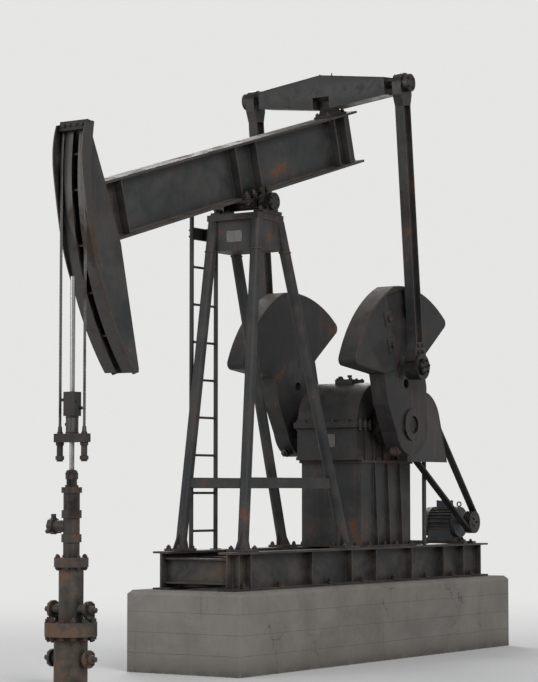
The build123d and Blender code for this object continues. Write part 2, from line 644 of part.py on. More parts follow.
with BuildPart() as head_track:
    with BuildSketch(BEAM_PLANE):
        with BuildLine():
            CenterArc((0, 0), TRACK_RADIUS, 180 - TRACK_TOP_ANGLE, TRACK_TOP_ANGLE - TRACK_BOTTOM_ANGLE)
            CenterArc((0, 0), TRACK_INNER + SEAT, 180 - TRACK_TOP_ANGLE, TRACK_TOP_ANGLE - TRACK_BOTTOM_ANGLE)
            Line(on_track(TRACK_RADIUS, TRACK_TOP_ANGLE), on_track(TRACK_INNER + SEAT, TRACK_TOP_ANGLE))
            Line(on_track(TRACK_RADIUS, TRACK_BOTTOM_ANGLE), on_track(TRACK_INNER + SEAT, TRACK_BOTTOM_ANGLE))
        make_face()
    extrude(amount=TRACK_WIDTH / 2, both=True)
    with BuildSketch(BEAM_PLANE):
        Circle(TRACK_RADIUS + TRACK_PLATE)
    extrude(amount=TRACK_SLOT / 2, both=True, mode=Mode.SUBTRACT)
    for side in (1, -1):
        with BuildSketch(at_y(BEAM_PLANE, side * TRACK_WIDTH / 2)):
            cheek_edge = [
                on_track(TRACK_RADIUS + height, angle) for angle, height in zip(CHEEK_ANGLES, CHEEK_HEIGHTS)
            ]
            cheek_root = TRACK_RADIUS - TRACK_PLATE / 2
            with BuildLine():
                Polyline(
                    on_track(TRACK_RADIUS + CHEEK_TOP_HEIGHT, CHEEK_TOP_ANGLE),
                    on_track(cheek_root, TRACK_TOP_ANGLE),
                )
                ThreePointArc(
                    on_track(cheek_root, TRACK_TOP_ANGLE),
                    on_track(cheek_root, (TRACK_TOP_ANGLE + CHEEK_ANGLES[0]) / 2),
                    on_track(cheek_root, CHEEK_ANGLES[0]),
                )
                Line(on_track(cheek_root, CHEEK_ANGLES[0]), cheek_edge[0])
                Spline(*cheek_edge, on_track(TRACK_RADIUS + CHEEK_TOP_HEIGHT, CHEEK_TOP_ANGLE))
            make_face()
        extrude(amount=side * CHEEK)

with BuildPart() as head_ribs:
    with BuildSketch(BEAM_PLANE):
        with Locations([(HEAD_KNEE_U, v) for v in HEAD_RIB_VS]):
            Rectangle(4 * HEAD_WIDTH, HEAD_RIB, align=(Align.MAX, Align.CENTER))
        with Locations((-HEAD_BACK_PLATE, 0)):
            add(head_profile(), mode=Mode.INTERSECT)
        Circle(TRACK_INNER, mode=Mode.INTERSECT)
    extrude(amount=HEAD_WIDTH / 2 - HEAD_PLATE, both=True)

# Wire lines: a short wrap on the track, anchored at the head's top, then straight down to the carrier bar
WRAP_START = degrees(WRAP_GAP / WIRE_TRACK)
WRAP_END = TRACK_TOP_ANGLE - BEAM_TILT - ANCHOR_SPAN
with BuildPart() as wire_wraps:
    for side in (1, -1):
        with BuildLine(at_y(PIVOT_PLANE, side * WIRE_Y)) as wrap_path:
            CenterArc((0, 0), WIRE_TRACK, 180 - WRAP_END, WRAP_END - WRAP_START)
        with BuildSketch(Plane(origin=wrap_path.line @ 0, z_dir=wrap_path.line % 0)):
            Circle(WIRE_RADIUS)
        sweep()

with BuildPart() as wire_anchor:
    with BuildSketch(BEAM_PLANE):
        anchor_angle = WRAP_END + BEAM_TILT
        anchor_span = TRACK_TOP_ANGLE - anchor_angle
        inner, outer = TRACK_RADIUS + SEAT, TRACK_RADIUS + 2 * WIRE_DIAMETER
        with BuildLine():
            CenterArc((0, 0), inner, 180 - TRACK_TOP_ANGLE, anchor_span)
            CenterArc((0, 0), outer, 180 - TRACK_TOP_ANGLE, anchor_span)
            Line(on_track(inner, TRACK_TOP_ANGLE), on_track(outer, TRACK_TOP_ANGLE))
            Line(on_track(inner, anchor_angle), on_track(outer, anchor_angle))
        make_face()
    extrude(amount=TRACK_WIDTH / 2 - CHEEK - SEAT, both=True)

with BuildPart() as wire_lines:
    with Locations((ROD_X, WIRE_Y, CARRIER_TOP), (ROD_X, -WIRE_Y, CARRIER_TOP)):
        Cylinder(WIRE_RADIUS, PIVOT_HEIGHT - CARRIER_TOP, align=(Align.CENTER, Align.CENTER, Align.MIN))

# Carrier bar with the sockets under it, the load cell and the clamp on it, and the polished rod
with BuildPart() as carrier_bar:
    with BuildSketch(Plane.XY.offset(CARRIER_TOP - CARRIER_DEPTH)):
        with Locations((ROD_X, 0)):
            RectangleRounded(CARRIER_WIDTH, CARRIER_LENGTH, CARRIER_WIDTH / 3)
            Circle(ROD_RADIUS + SEAT, mode=Mode.SUBTRACT)
    extrude(amount=CARRIER_DEPTH)
    for side in (1, -1):
        with Locations((ROD_X, side * WIRE_Y, CARRIER_TOP - CARRIER_DEPTH)):
            Cylinder(SOCKET_DIAMETER / 2, SOCKET_LENGTH, align=(Align.CENTER, Align.CENTER, Align.MAX))
            Cylinder(
                SOCKET_COLLAR / 2, SOCKET_LENGTH / 6, align=(Align.CENTER, Align.CENTER, Align.MAX)
            )

with BuildPart() as load_cell:
    with BuildSketch(Plane.XY.offset(CARRIER_TOP)):
        with Locations((ROD_X, 0)):
            Circle(CELL_DIAMETER / 2)
            Circle(ROD_RADIUS + SEAT, mode=Mode.SUBTRACT)
    extrude(amount=CELL_TOP - CARRIER_TOP)
    plug_start = Plane(origin=(ROD_X, CELL_DIAMETER / 3, CELL_PLUG_HEIGHT), x_dir=(1, 0, 0), z_dir=(0, 1, 0))
    with BuildSketch(plug_start):
        Circle(CELL_PLUG_DIAMETER / 2)
    extrude(amount=CELL_DIAMETER / 6 + CELL_PLUG_REACH)

with BuildPart() as rod_clamp:
    with BuildSketch(Plane.XY.offset(CELL_TOP)):
        with Locations((ROD_X, 0)):
            RectangleRounded(CLAMP_SIDE, CLAMP_SIDE, CLAMP_SIDE / 5)
            Circle(ROD_RADIUS + SEAT, mode=Mode.SUBTRACT)
    extrude(amount=CLAMP_TOP - CELL_TOP)
    for side, height in zip((-1, 1), CLAMP_BOLT_HEIGHTS):
        bolt_x = ROD_X - side * CLAMP_SIDE / 4
        with BuildSketch(Plane(origin=(bolt_x, 0, height), x_dir=(1, 0, 0), z_dir=(0, 1, 0))):
            RegularPolygon(CLAMP_BOLT_DIAMETER / 2, 6)
        extrude(amount=CLAMP_SIDE / 2 + CLAMP_BOLT_REACH, both=True)
    with Locations((ROD_X, 0, CELL_TOP)):
        Cylinder(
            ROD_DIAMETER / 2 + SEAT, CLAMP_TOP - CELL_TOP,
            align=(Align.CENTER, Align.CENTER, Align.MIN), mode=Mode.SUBTRACT,
        )

with BuildPart() as polished_rod:
    with Locations((ROD_X, 0, ROD_FOOT)):
        Cylinder(ROD_RADIUS, ROD_TOP - ROD_FOOT, align=(Align.CENTER, Align.CENTER, Align.MIN))

# Wellhead, from the casing in the ground up to the stuffing box that the rod runs in
def well_ring(radius, bore, z_low, z_high):
    """A round piece of the wellhead with a hole through it."""
    with BuildPart(mode=Mode.PRIVATE) as ring:
        with BuildSketch(Plane.XY.offset(z_low)):
            with Locations((ROD_X, 0)):
                Circle(radius)
                Circle(bore / 2, mode=Mode.SUBTRACT)
        extrude(amount=z_high - z_low)
    return ring.part


def side_outlets(height):
    """Two short outlets across the well at this height, each closed by a flange."""
    with BuildPart(mode=Mode.PRIVATE) as outlets:
        with BuildSketch(Plane(origin=(ROD_X, 0, height), x_dir=(1, 0, 0), z_dir=(0, 1, 0))):
            Circle(OUTLET_DIAMETER / 2)
        extrude(amount=OUTLET_REACH, both=True)
        for side in (1, -1):
            flange_start = (ROD_X, side * OUTLET_REACH, height)
            with BuildSketch(Plane(origin=flange_start, x_dir=(1, 0, 0), z_dir=(0, side, 0))):
                Circle(OUTLET_FLANGE_DIAMETER / 2)
            extrude(amount=-OUTLET_FLANGE)
    return outlets.part


def well_bore(z_low, z_high):
    """The well's open middle between two heights."""
    with BuildPart(mode=Mode.PRIVATE) as bore:
        with Locations((ROD_X, 0, z_low)):
            Cylinder(WELL_BORE / 2, z_high - z_low, align=(Align.CENTER, Align.CENTER, Align.MIN))
    return bore.part


GLAND_BORE = ROD_DIAMETER + 2 * SEAT

with BuildPart() as casing_head:
    add(well_ring(CASING_DIAMETER / 2, WELL_BORE, 0.0, CASING_TOP - CASING_FLANGE))
    add(well_ring(CASING_FLANGE_DIAMETER / 2, WELL_BORE, CASING_TOP - CASING_FLANGE, CASING_TOP))
    add(side_outlets(OUTLET_HEIGHTS[0]))
    add(well_bore(0.0, CASING_TOP), mode=Mode.SUBTRACT)

with BuildPart() as tubing_head:
    add(well_ring(CASING_FLANGE_DIAMETER / 2, WELL_BORE, CASING_TOP, CASING_TOP + CASING_FLANGE))
    add(well_ring(TUBING_HEAD_DIAMETER / 2, WELL_BORE, CASING_TOP + CASING_FLANGE, TUBING_HEAD_TOP))
    add(well_ring(BONNET_FLANGE_DIAMETER / 2, WELL_BORE, TUBING_HEAD_TOP - BONNET_FLANGE, TUBING_HEAD_TOP))
    add(side_outlets(OUTLET_HEIGHTS[1]))
    add(well_bore(CASING_TOP, TUBING_HEAD_TOP), mode=Mode.SUBTRACT)

with BuildPart() as pumping_tee:
    add(well_ring(TEE_DIAMETER / 2, WELL_BORE, TUBING_HEAD_TOP, TEE_TOP))
    add(well_ring(BONNET_FLANGE_DIAMETER / 2, WELL_BORE, TUBING_HEAD_TOP, TUBING_HEAD_TOP + BONNET_FLANGE))
    for collar_low in (TEE_OUTLET_HEIGHT - 2 * COLLAR_DEPTH, TEE_OUTLET_HEIGHT + COLLAR_DEPTH):
        add(well_ring(COLLAR_DIAMETER / 2, WELL_BORE, collar_low, collar_low + COLLAR_DEPTH))
    with BuildSketch(Plane(origin=(ROD_X, 0, TEE_OUTLET_HEIGHT), x_dir=(1, 0, 0), z_dir=(0, 1, 0))):
        Circle(TEE_OUTLET_DIAMETER / 2)
    extrude(amount=TEE_OUTLET_REACH)
    nut_start = (ROD_X, TEE_OUTLET_REACH - UNION_NUT_DEPTH, TEE_OUTLET_HEIGHT)
    with BuildSketch(Plane(origin=nut_start, x_dir=(1, 0, 0), z_dir=(0, 1, 0))):
        RegularPolygon(UNION_NUT_DIAMETER / 2, 8)
    extrude(amount=UNION_NUT_DEPTH)
    add(well_bore(TUBING_HEAD_TOP, TEE_TOP), mode=Mode.SUBTRACT)

with BuildPart() as stuffing_box:
    add(well_ring(UNION_DIAMETER / 2, GLAND_BORE, TEE_TOP, TEE_TOP + (GLAND_TOP - TEE_TOP) / 4))
    add(well_ring(GLAND_DIAMETER / 2, GLAND_BORE, TEE_TOP + (GLAND_TOP - TEE_TOP) / 4, GLAND_TOP))
    nut_top = GLAND_TOP - PACKING_NUT_DEPTH
    add(well_ring(PACKING_NUT_DIAMETER / 2, GLAND_BORE, nut_top - PACKING_NUT_DEPTH, nut_top))

# Tail bearing stand on the beam
with BuildPart() as tail_bearing_stand:
    with BuildSketch(BEAM_PLANE):
        with Locations((TAIL_U, TAIL_V)):
            Circle(STAND_HUB_RADIUS)
        with BuildLine():
            Polyline(
                (TAIL_U - STAND_NECK / 2, TAIL_V),
                (TAIL_U - STAND_NECK / 2, TAIL_V + EQ_BOTTOM_MIDDLE),
                (TAIL_U - STAND_NECK, BEAM_TOP + STAND_BASE),
                (TAIL_U + STAND_NECK, BEAM_TOP + STAND_BASE),
                (TAIL_U + STAND_NECK / 2, TAIL_V + EQ_BOTTOM_MIDDLE),
                (TAIL_U + STAND_NECK / 2, TAIL_V),
                close=True,
            )
        make_face()
        with Locations((TAIL_U, BEAM_TOP + STAND_BASE / 2)):
            Rectangle(STAND_BASE_LENGTH, STAND_BASE)
        with Locations((TAIL_U, TAIL_V)):
            Circle(TAIL_SHAFT_DIAMETER / 2 + SEAT, mode=Mode.SUBTRACT)
    extrude(amount=STAND_WIDTH / 2, both=True)

# Equalizer: a box across the machine, deepest in the middle, open below over the stand
def equalizer_profile(inset):
    """The equalizer's outline, seen along the beam, with its walls moved in by inset."""
    slope = (EQ_TOP_MIDDLE - EQ_TOP_END) / EQ_HALF_SPAN
    with BuildSketch(mode=Mode.PRIVATE) as profile:
        with BuildLine():
            Polyline(
                (-EQ_HALF_SPAN + inset, EQ_TOP_END - inset + slope * inset),
                (0, EQ_TOP_MIDDLE - inset),
                (EQ_HALF_SPAN - inset, EQ_TOP_END - inset + slope * inset),
                (EQ_HALF_SPAN - inset, EQ_BOTTOM_END),
                (EQ_BOTTOM_FLAT, EQ_BOTTOM_MIDDLE),
                (-EQ_BOTTOM_FLAT, EQ_BOTTOM_MIDDLE),
                (-EQ_HALF_SPAN + inset, EQ_BOTTOM_END),
                close=True,
            )
        make_face()
    return profile.sketch


EQ_PLANE = Plane(origin=TAIL, x_dir=(0, 1, 0), z_dir=PITMAN_SIDE)
EQ_SPACE = EQ_WIDTH / 2 - EQ_WALL

with BuildPart() as equalizer:
    with BuildSketch(EQ_PLANE):
        add(equalizer_profile(0.0))
    extrude(amount=EQ_WIDTH / 2, both=True)
    with BuildSketch(EQ_PLANE):
        add(equalizer_profile(EQ_END_PLATE))
        diaphragm_middle = EQ_DIAPHRAGM_Y + EQ_DIAPHRAGM / 2
        with Locations((diaphragm_middle, 0), (-diaphragm_middle, 0)):
            Rectangle(EQ_DIAPHRAGM, 4 * EQ_TOP_MIDDLE, mode=Mode.SUBTRACT)
    extrude(amount=EQ_SPACE, both=True, mode=Mode.SUBTRACT)
    with BuildSketch(EQ_PLANE):
        with Locations((0, EQ_NOTCH_TOP)):
            Rectangle(
                2 * EQ_DIAPHRAGM_Y, 2 * EQ_TOP_MIDDLE, align=(Align.CENTER, Align.MAX)
            )
    extrude(amount=EQ_WIDTH, both=True, mode=Mode.SUBTRACT)
    with BuildSketch(PITMAN_PLANE):
        Circle(TAIL_SHAFT_DIAMETER / 2 + SEAT)
    extrude(amount=EQ_DIAPHRAGM_Y + EQ_DIAPHRAGM, both=True, mode=Mode.SUBTRACT)

with BuildPart() as tail_shaft:
    with BuildSketch(PITMAN_PLANE):
        Circle(TAIL_SHAFT_DIAMETER / 2)
    extrude(amount=EQ_DIAPHRAGM_Y + EQ_DIAPHRAGM, both=True)

# Pitmans: rolled beams with a round head on the equalizer's pin and a foot over the wrist bearing
with BuildPart() as pitman_pins:
    for side in (1, -1):
        with BuildSketch(at_y(PITMAN_PLANE, side * EQ_HALF_SPAN)):
            Circle(PITMAN_PIN_DIAMETER / 2)
        extrude(amount=-side * (PITMAN_Y + PITMAN_WIDTH / 2 - EQ_HALF_SPAN))
        with BuildSketch(at_y(PITMAN_PLANE, side * (PITMAN_Y + PITMAN_WIDTH / 2))):
            Circle(PITMAN_CAP_RADIUS)
        extrude(amount=-side * PITMAN_CAP)


def pitman(side):
    """One pitman: its head, its rolled length and its foot, bored for the two pins."""
    near_face = PITMAN_PLANE.offset(-side * PITMAN_Y)
    with BuildPart(mode=Mode.PRIVATE) as rod:
        with BuildSketch(near_face):
            Circle(PITMAN_HEAD_RADIUS)
            with BuildLine():
                Polyline(
                    (-PITMAN_HEAD_RADIUS, 0),
                    (-PITMAN_HEAD_RADIUS, -PITMAN_HEAD_LENGTH / 2),
                    (-PITMAN_DEPTH / 2, -PITMAN_HEAD_LENGTH),
                    (PITMAN_DEPTH / 2, -PITMAN_HEAD_LENGTH),
                    (PITMAN_HEAD_RADIUS, -PITMAN_HEAD_LENGTH / 2),
                    (PITMAN_HEAD_RADIUS, 0),
                    close=True,
                )
            make_face()
            with BuildLine():
                Polyline(
                    (-PITMAN_DEPTH / 2, PITMAN_FOOT_LENGTH - PITMAN_LENGTH),
                    (-WRIST_HOUSING_RADIUS, WRIST_HOUSING_RADIUS / 2 - PITMAN_LENGTH),
                    (WRIST_HOUSING_RADIUS, WRIST_HOUSING_RADIUS / 2 - PITMAN_LENGTH),
                    (PITMAN_DEPTH / 2, PITMAN_FOOT_LENGTH - PITMAN_LENGTH),
                    close=True,
                )
            make_face()
            with Locations((0, -PITMAN_LENGTH)):
                Circle(WRIST_HOUSING_RADIUS)
            Circle(PITMAN_PIN_DIAMETER / 2 + SEAT, mode=Mode.SUBTRACT)
            with Locations((0, -PITMAN_LENGTH)):
                Circle(WRIST_PIN_DIAMETER / 2 + SEAT, mode=Mode.SUBTRACT)
        extrude(amount=PITMAN_WIDTH / 2, both=True)
        with BuildSketch(near_face):
            with Locations((0, -PITMAN_LENGTH)):
                Circle(WRIST_HOUSING_RADIUS)
                Circle(WRIST_PIN_DIAMETER / 2 + SEAT, mode=Mode.SUBTRACT)
        extrude(amount=WRIST_HOUSING_WIDTH / 2, both=True)
        rolled_top = near_face.origin - PITMAN_UP * PITMAN_HEAD_LENGTH
        with BuildSketch(Plane(origin=rolled_top, x_dir=(0, 1, 0), z_dir=-PITMAN_UP)):
            add(i_section(PITMAN_DEPTH, PITMAN_WIDTH, PITMAN_FLANGE, PITMAN_WEB))
        extrude(amount=PITMAN_LENGTH - PITMAN_HEAD_LENGTH - PITMAN_FOOT_LENGTH)
    return rod.part


with BuildPart() as near_pitman:
    add(pitman(-1))

with BuildPart() as far_pitman:
    add(pitman(1))

# The wrist pins reach from the pitmans' feet almost to the cranks
WRIST_OUTER = PITMAN_Y + WRIST_HOUSING_WIDTH / 2
with BuildPart() as wrist_pins:
    for side in (1, -1):
        with BuildSketch(at_y(PITMAN_PLANE, side * WRIST_PIN_START)):
            with Locations((0, -PITMAN_LENGTH)):
                Circle(WRIST_PIN_DIAMETER / 2)
        extrude(amount=-side * (WRIST_OUTER - WRIST_PIN_START))
        with BuildSketch(at_y(PITMAN_PLANE, side * WRIST_OUTER)):
            with Locations((0, -PITMAN_LENGTH)):
                Circle(WRIST_CAP_RADIUS)
        extrude(amount=-side * WRIST_CAP)

# Cranks: slabs with a round hub, narrow between the weights
with BuildPart() as crankshaft:
    with BuildSketch(CRANK_PLANE):
        Circle(CRANKSHAFT_DIAMETER / 2)
    extrude(amount=CRANK_FACE_OUTER, both=True)


def crank(side):
    """One crank, bored for the shaft and for the spare wrist pin places."""
    with BuildPart(mode=Mode.PRIVATE) as arm:
        with BuildSketch(at_y(CRANK_PLANE, side * CRANK_FACE_INNER)):
            Circle(CRANK_HUB_RADIUS)
            with BuildLine():
                Polyline(
                    (-CRANK_HUB_RADIUS, 0),
                    (-CRANK_HALF_WIDTH, CRANK_SHOULDER / 2),
                    (-CRANK_HALF_WIDTH, CRANK_SHOULDER),
                    (-CRANK_TIP_HALF_WIDTH, CRANK_SHOULDER),
                    (-CRANK_TIP_HALF_WIDTH, CRANK_TIP),
                    (CRANK_TIP_HALF_WIDTH, CRANK_TIP),
                    (CRANK_TIP_HALF_WIDTH, CRANK_SHOULDER),
                    (CRANK_HALF_WIDTH, CRANK_SHOULDER),
                    (CRANK_HALF_WIDTH, CRANK_SHOULDER / 2),
                    (CRANK_HUB_RADIUS, 0),
                    close=True,
                )
            make_face()
            Circle(CRANKSHAFT_DIAMETER / 2 + SEAT, mode=Mode.SUBTRACT)
        extrude(amount=-side * CRANK_THICKNESS)
        with BuildSketch(at_y(CRANK_PLANE, side * CRANK_FACE_INNER)):
            with Locations([(0, radius) for radius in CRANK_SPARE_RADII]):
                Circle(CRANK_SPARE_HOLE / 2)
        extrude(amount=-side * CRANK_THICKNESS, mode=Mode.SUBTRACT)
        with BuildSketch(at_y(CRANK_PLANE, side * CRANK_FACE_OUTER)):
            Circle(CRANK_BOSS_RADIUS)
            Circle(CRANKSHAFT_DIAMETER / 2 + SEAT, mode=Mode.SUBTRACT)
        extrude(amount=-side * CRANK_BOSS)
    return arm.part


with BuildPart() as near_crank:
    add(crank(-1))

with BuildPart() as far_crank:
    add(crank(1))

# Counterweights: one on each edge of each crank, with a round back and a rounded nose
def counterweight(side, edge):
    """The weight on one edge of a crank: edge is 1 at the rear of the crank's line and -1 in front."""
    with BuildPart(mode=Mode.PRIVATE) as block:
        with BuildSketch(at_y(CRANK_PLANE, side * CRANK_FACE_INNER)) as outline:
            with BuildLine():
                Polyline(
                    (edge * WEIGHT_CORNER_X, WEIGHT_CORNER_Y),
                    (edge * WEIGHT_WAIST_X, WEIGHT_WAIST_Y),
                    (edge * CRANK_HALF_WIDTH, CRANK_SHOULDER),
                    (edge * CRANK_TIP_HALF_WIDTH, CRANK_SHOULDER),
                    (edge * CRANK_TIP_HALF_WIDTH, CRANK_TIP),
                    (edge * WEIGHT_GAP / 2, CRANK_TIP),
                    (edge * WEIGHT_GAP / 2, WEIGHT_TOP),
                )
                ThreePointArc(
                    (edge * WEIGHT_GAP / 2, WEIGHT_TOP),
                    (edge * WEIGHT_BACK_X, WEIGHT_BACK_Y),
                    (edge * WEIGHT_CORNER_X, WEIGHT_CORNER_Y),
                )
            make_face()
            nose = outline.vertices().sort_by(Axis.X)[-1 if edge > 0 else 0]
            fillet(nose, WEIGHT_NOSE_RADIUS)
        extrude(amount=-side * WEIGHT_THICKNESS)
        outer_face = block.faces().sort_by(Axis.Y)[-1 if side > 0 else 0]
        chamfer(outer_face.edges(), WEIGHT_EDGE)
    return block.part


with BuildPart() as near_counterweights:
    add(counterweight(-1, -1))
    add(counterweight(-1, 1))

with BuildPart() as far_counterweights:
    add(counterweight(1, -1))
    add(counterweight(1, 1))

# Gearbox: a lower case, and an upper case round over the slow gear and the fast pinion
with BuildPart() as gearbox_lower_case:
    with BuildSketch(SIDE_PLANE):
        with Locations(((GEARBOX_FRONT + GEARBOX_REAR) / 2, (GEARBOX_BOTTOM + SHAFT_HEIGHT) / 2)):
            Rectangle(GEARBOX_REAR - GEARBOX_FRONT, SHAFT_HEIGHT - GEARBOX_BOTTOM)
    extrude(amount=GEARBOX_WIDTH / 2, both=True)
    with Locations(((GEARBOX_FRONT + GEARBOX_REAR) / 2, 0, SHAFT_HEIGHT)):
        Box(
            GEARBOX_REAR - GEARBOX_FRONT + 2 * GEARBOX_FLANGE_LIP, GEARBOX_WIDTH + GEARBOX_FLANGE_LIP,
            GEARBOX_FLANGE, align=(Align.CENTER, Align.CENTER, Align.MAX),
        )
    with Locations([(x, 0, GEARBOX_BOTTOM) for x in GEARBOX_FOOT_XS]):
        Box(
            GEARBOX_FOOT_LENGTH, GEARBOX_WIDTH + 2 * PEDESTAL_PLATE, GEARBOX_FOOT,
            align=(Align.CENTER, Align.CENTER, Align.MIN),
        )
    for x in GEARBOX_RIB_XS:
        with Locations((x, 0, GEARBOX_BOTTOM)):
            Box(
                GEARBOX_RIB, GEARBOX_WIDTH + GEARBOX_FLANGE_LIP, SHAFT_HEIGHT - GEARBOX_BOTTOM,
                align=(Align.CENTER, Align.CENTER, Align.MIN),
            )
    with BuildSketch(CRANK_PLANE):
        Circle(CRANKSHAFT_DIAMETER / 2 + SEAT)
    extrude(amount=GEARBOX_WIDTH, both=True, mode=Mode.SUBTRACT)
    with BuildSketch(Plane(origin=(SHEAVE_SHAFT_X, 0, SHAFT_HEIGHT), x_dir=(1, 0, 0), z_dir=(0, -1, 0))):
        Circle(SHEAVE_SHAFT_DIAMETER / 2 + SEAT)
    extrude(amount=GEARBOX_WIDTH, mode=Mode.SUBTRACT)

with BuildPart() as gearbox_upper_case:
    with BuildSketch(SIDE_PLANE):
        with Locations((SHAFT_X, SHAFT_HEIGHT)):
            Circle(GEARBOX_BIG_RADIUS)
        with Locations((SHEAVE_SHAFT_X, SHAFT_HEIGHT)):
            Circle(GEARBOX_SMALL_RADIUS)
        big, small = GEARBOX_BIG_RADIUS, GEARBOX_SMALL_RADIUS
        rise = atan2(big - small, SHEAVE_SHAFT_X - SHAFT_X)
        with BuildLine():
            Polyline(
                (SHAFT_X, SHAFT_HEIGHT),
                (SHAFT_X + big * sin(rise), SHAFT_HEIGHT + big * cos(rise)),
                (SHEAVE_SHAFT_X + small * sin(rise), SHAFT_HEIGHT + small * cos(rise)),
                (SHEAVE_SHAFT_X, SHAFT_HEIGHT),
                close=True,
            )
        make_face()
        with Locations((SHAFT_X, SHAFT_HEIGHT)):
            Rectangle(4 * big, 2 * big, mode=Mode.SUBTRACT, align=(Align.CENTER, Align.MAX))
    extrude(amount=GEARBOX_WIDTH / 2, both=True)
    with Locations(((GEARBOX_FRONT + GEARBOX_REAR) / 2, 0, SHAFT_HEIGHT)):
        Box(
            GEARBOX_REAR - GEARBOX_FRONT + 2 * GEARBOX_FLANGE_LIP, GEARBOX_WIDTH + GEARBOX_FLANGE_LIP,
            GEARBOX_FLANGE, align=(Align.CENTER, Align.CENTER, Align.MIN),
        )
    with Locations((SHAFT_X, 0, SHAFT_HEIGHT)):
        Box(
            HATCH_LENGTH, HATCH_WIDTH, GEARBOX_BIG_RADIUS + HATCH_HEIGHT,
            align=(Align.CENTER, Align.CENTER, Align.MIN),
        )
    lug_height = SHAFT_HEIGHT + (GEARBOX_BIG_RADIUS + GEARBOX_SMALL_RADIUS) / 2
    for side in (1, -1):
        with BuildSketch(at_y(SIDE_PLANE, side * GEARBOX_WIDTH / 3)):
            with Locations((LIFTING_LUG_X, lug_height + 2 * LIFTING_LUG_RADIUS)):
                SlotCenterToCenter(3 * LIFTING_LUG_RADIUS, 2 * LIFTING_LUG_RADIUS, rotation=90)
            with Locations((LIFTING_LUG_X, lug_height + 3.5 * LIFTING_LUG_RADIUS)):
                Circle(LIFTING_LUG_RADIUS / 2, mode=Mode.SUBTRACT)
        extrude(amount=LIFTING_LUG / 2, both=True)
    with BuildSketch(CRANK_PLANE):
        Circle(CRANKSHAFT_DIAMETER / 2 + SEAT)
    extrude(amount=GEARBOX_WIDTH, both=True, mode=Mode.SUBTRACT)
    with BuildSketch(Plane(origin=(SHEAVE_SHAFT_X, 0, SHAFT_HEIGHT), x_dir=(1, 0, 0), z_dir=(0, -1, 0))):
        Circle(SHEAVE_SHAFT_DIAMETER / 2 + SEAT)
    extrude(amount=GEARBOX_WIDTH, mode=Mode.SUBTRACT)

with BuildPart() as breather:
    hatch_top = SHAFT_HEIGHT + GEARBOX_BIG_RADIUS + HATCH_HEIGHT
    with Locations((SHAFT_X, 0, hatch_top)):
        Cylinder(BREATHER_RADIUS / 2, BREATHER_HEIGHT / 2, align=(Align.CENTER, Align.CENTER, Align.MIN))
    with Locations((SHAFT_X, 0, hatch_top + BREATHER_HEIGHT / 2)):
        Cylinder(BREATHER_RADIUS, BREATHER_HEIGHT / 2, align=(Align.CENTER, Align.CENTER, Align.MIN))

with BuildPart() as bearing_caps:
    for side in (1, -1):
        cap_start = side * (GEARBOX_WIDTH + GEARBOX_FLANGE_LIP) / 2
        with BuildSketch(at_y(CRANK_PLANE, cap_start)):
            Circle(BEARING_CAP_RADIUS)
            Circle(CRANKSHAFT_DIAMETER / 2 + SEAT, mode=Mode.SUBTRACT)
        extrude(amount=-side * (BEARING_CAP_FACE - abs(cap_start)))
        with BuildSketch(at_y(SIDE_PLANE, cap_start)):
            with Locations((MIDDLE_SHAFT_X, SHAFT_HEIGHT)):
                Circle(MIDDLE_COVER_RADIUS)
        extrude(amount=-side * SHAFT_COVER)
    with BuildSketch(at_y(SIDE_PLANE, (GEARBOX_WIDTH + GEARBOX_FLANGE_LIP) / 2)):
        with Locations((SHEAVE_SHAFT_X, SHAFT_HEIGHT)):
            Circle(PINION_COVER_RADIUS)
    extrude(amount=-SHAFT_COVER)

# Pedestal under the gearbox: sides, ends and a cap plate
with BuildPart() as pedestal_sides:
    pedestal_middle = (PEDESTAL_FRONT + PEDESTAL_REAR) / 2
    pedestal_length = PEDESTAL_REAR - PEDESTAL_FRONT
    side_height = GEARBOX_BOTTOM - PEDESTAL_CAP - SKID_TOP
    side_y = (PEDESTAL_WIDTH - PEDESTAL_PLATE) / 2
    with Locations((pedestal_middle, side_y, SKID_TOP), (pedestal_middle, -side_y, SKID_TOP)):
        Box(pedestal_length, PEDESTAL_PLATE, side_height, align=(Align.CENTER, Align.CENTER, Align.MIN))
    foot_y = PEDESTAL_WIDTH / 2 + PEDESTAL_FOOT_REACH / 2
    with Locations((pedestal_middle, foot_y, SKID_TOP), (pedestal_middle, -foot_y, SKID_TOP)):
        Box(
            pedestal_length, PEDESTAL_FOOT_REACH, PEDESTAL_FOOT, align=(Align.CENTER, Align.CENTER, Align.MIN)
        )
    rib_pitch = pedestal_length / (PEDESTAL_RIBS + 1)
    for i in range(PEDESTAL_RIBS):
        rib_x = PEDESTAL_FRONT + (i + 1) * rib_pitch
        for side in (1, -1):
            rib_corner = (rib_x, side * PEDESTAL_WIDTH / 2, SKID_TOP)
            with BuildSketch(Plane(origin=rib_corner, x_dir=(0, side, 0), z_dir=(side, 0, 0))):
                with BuildLine():
                    Polyline(
                        (0, 0), (PEDESTAL_FOOT_REACH - GUSSET_MARGIN, 0),
                        (PEDESTAL_FOOT_REACH - GUSSET_MARGIN, 2 * PEDESTAL_FOOT), (PEDESTAL_PLATE, side_height),
                        (0, side_height), close=True,
                    )
                make_face()
            extrude(amount=PEDESTAL_RIB / 2, both=True)

with BuildPart() as pedestal_ends:
    end_width = PEDESTAL_WIDTH - 2 * PEDESTAL_PLATE
    for end_x in (PEDESTAL_FRONT + PEDESTAL_PLATE / 2, PEDESTAL_REAR - PEDESTAL_PLATE / 2):
        with Locations((end_x, 0, SKID_TOP)):
            Box(PEDESTAL_PLATE, end_width, side_height, align=(Align.CENTER, Align.CENTER, Align.MIN))

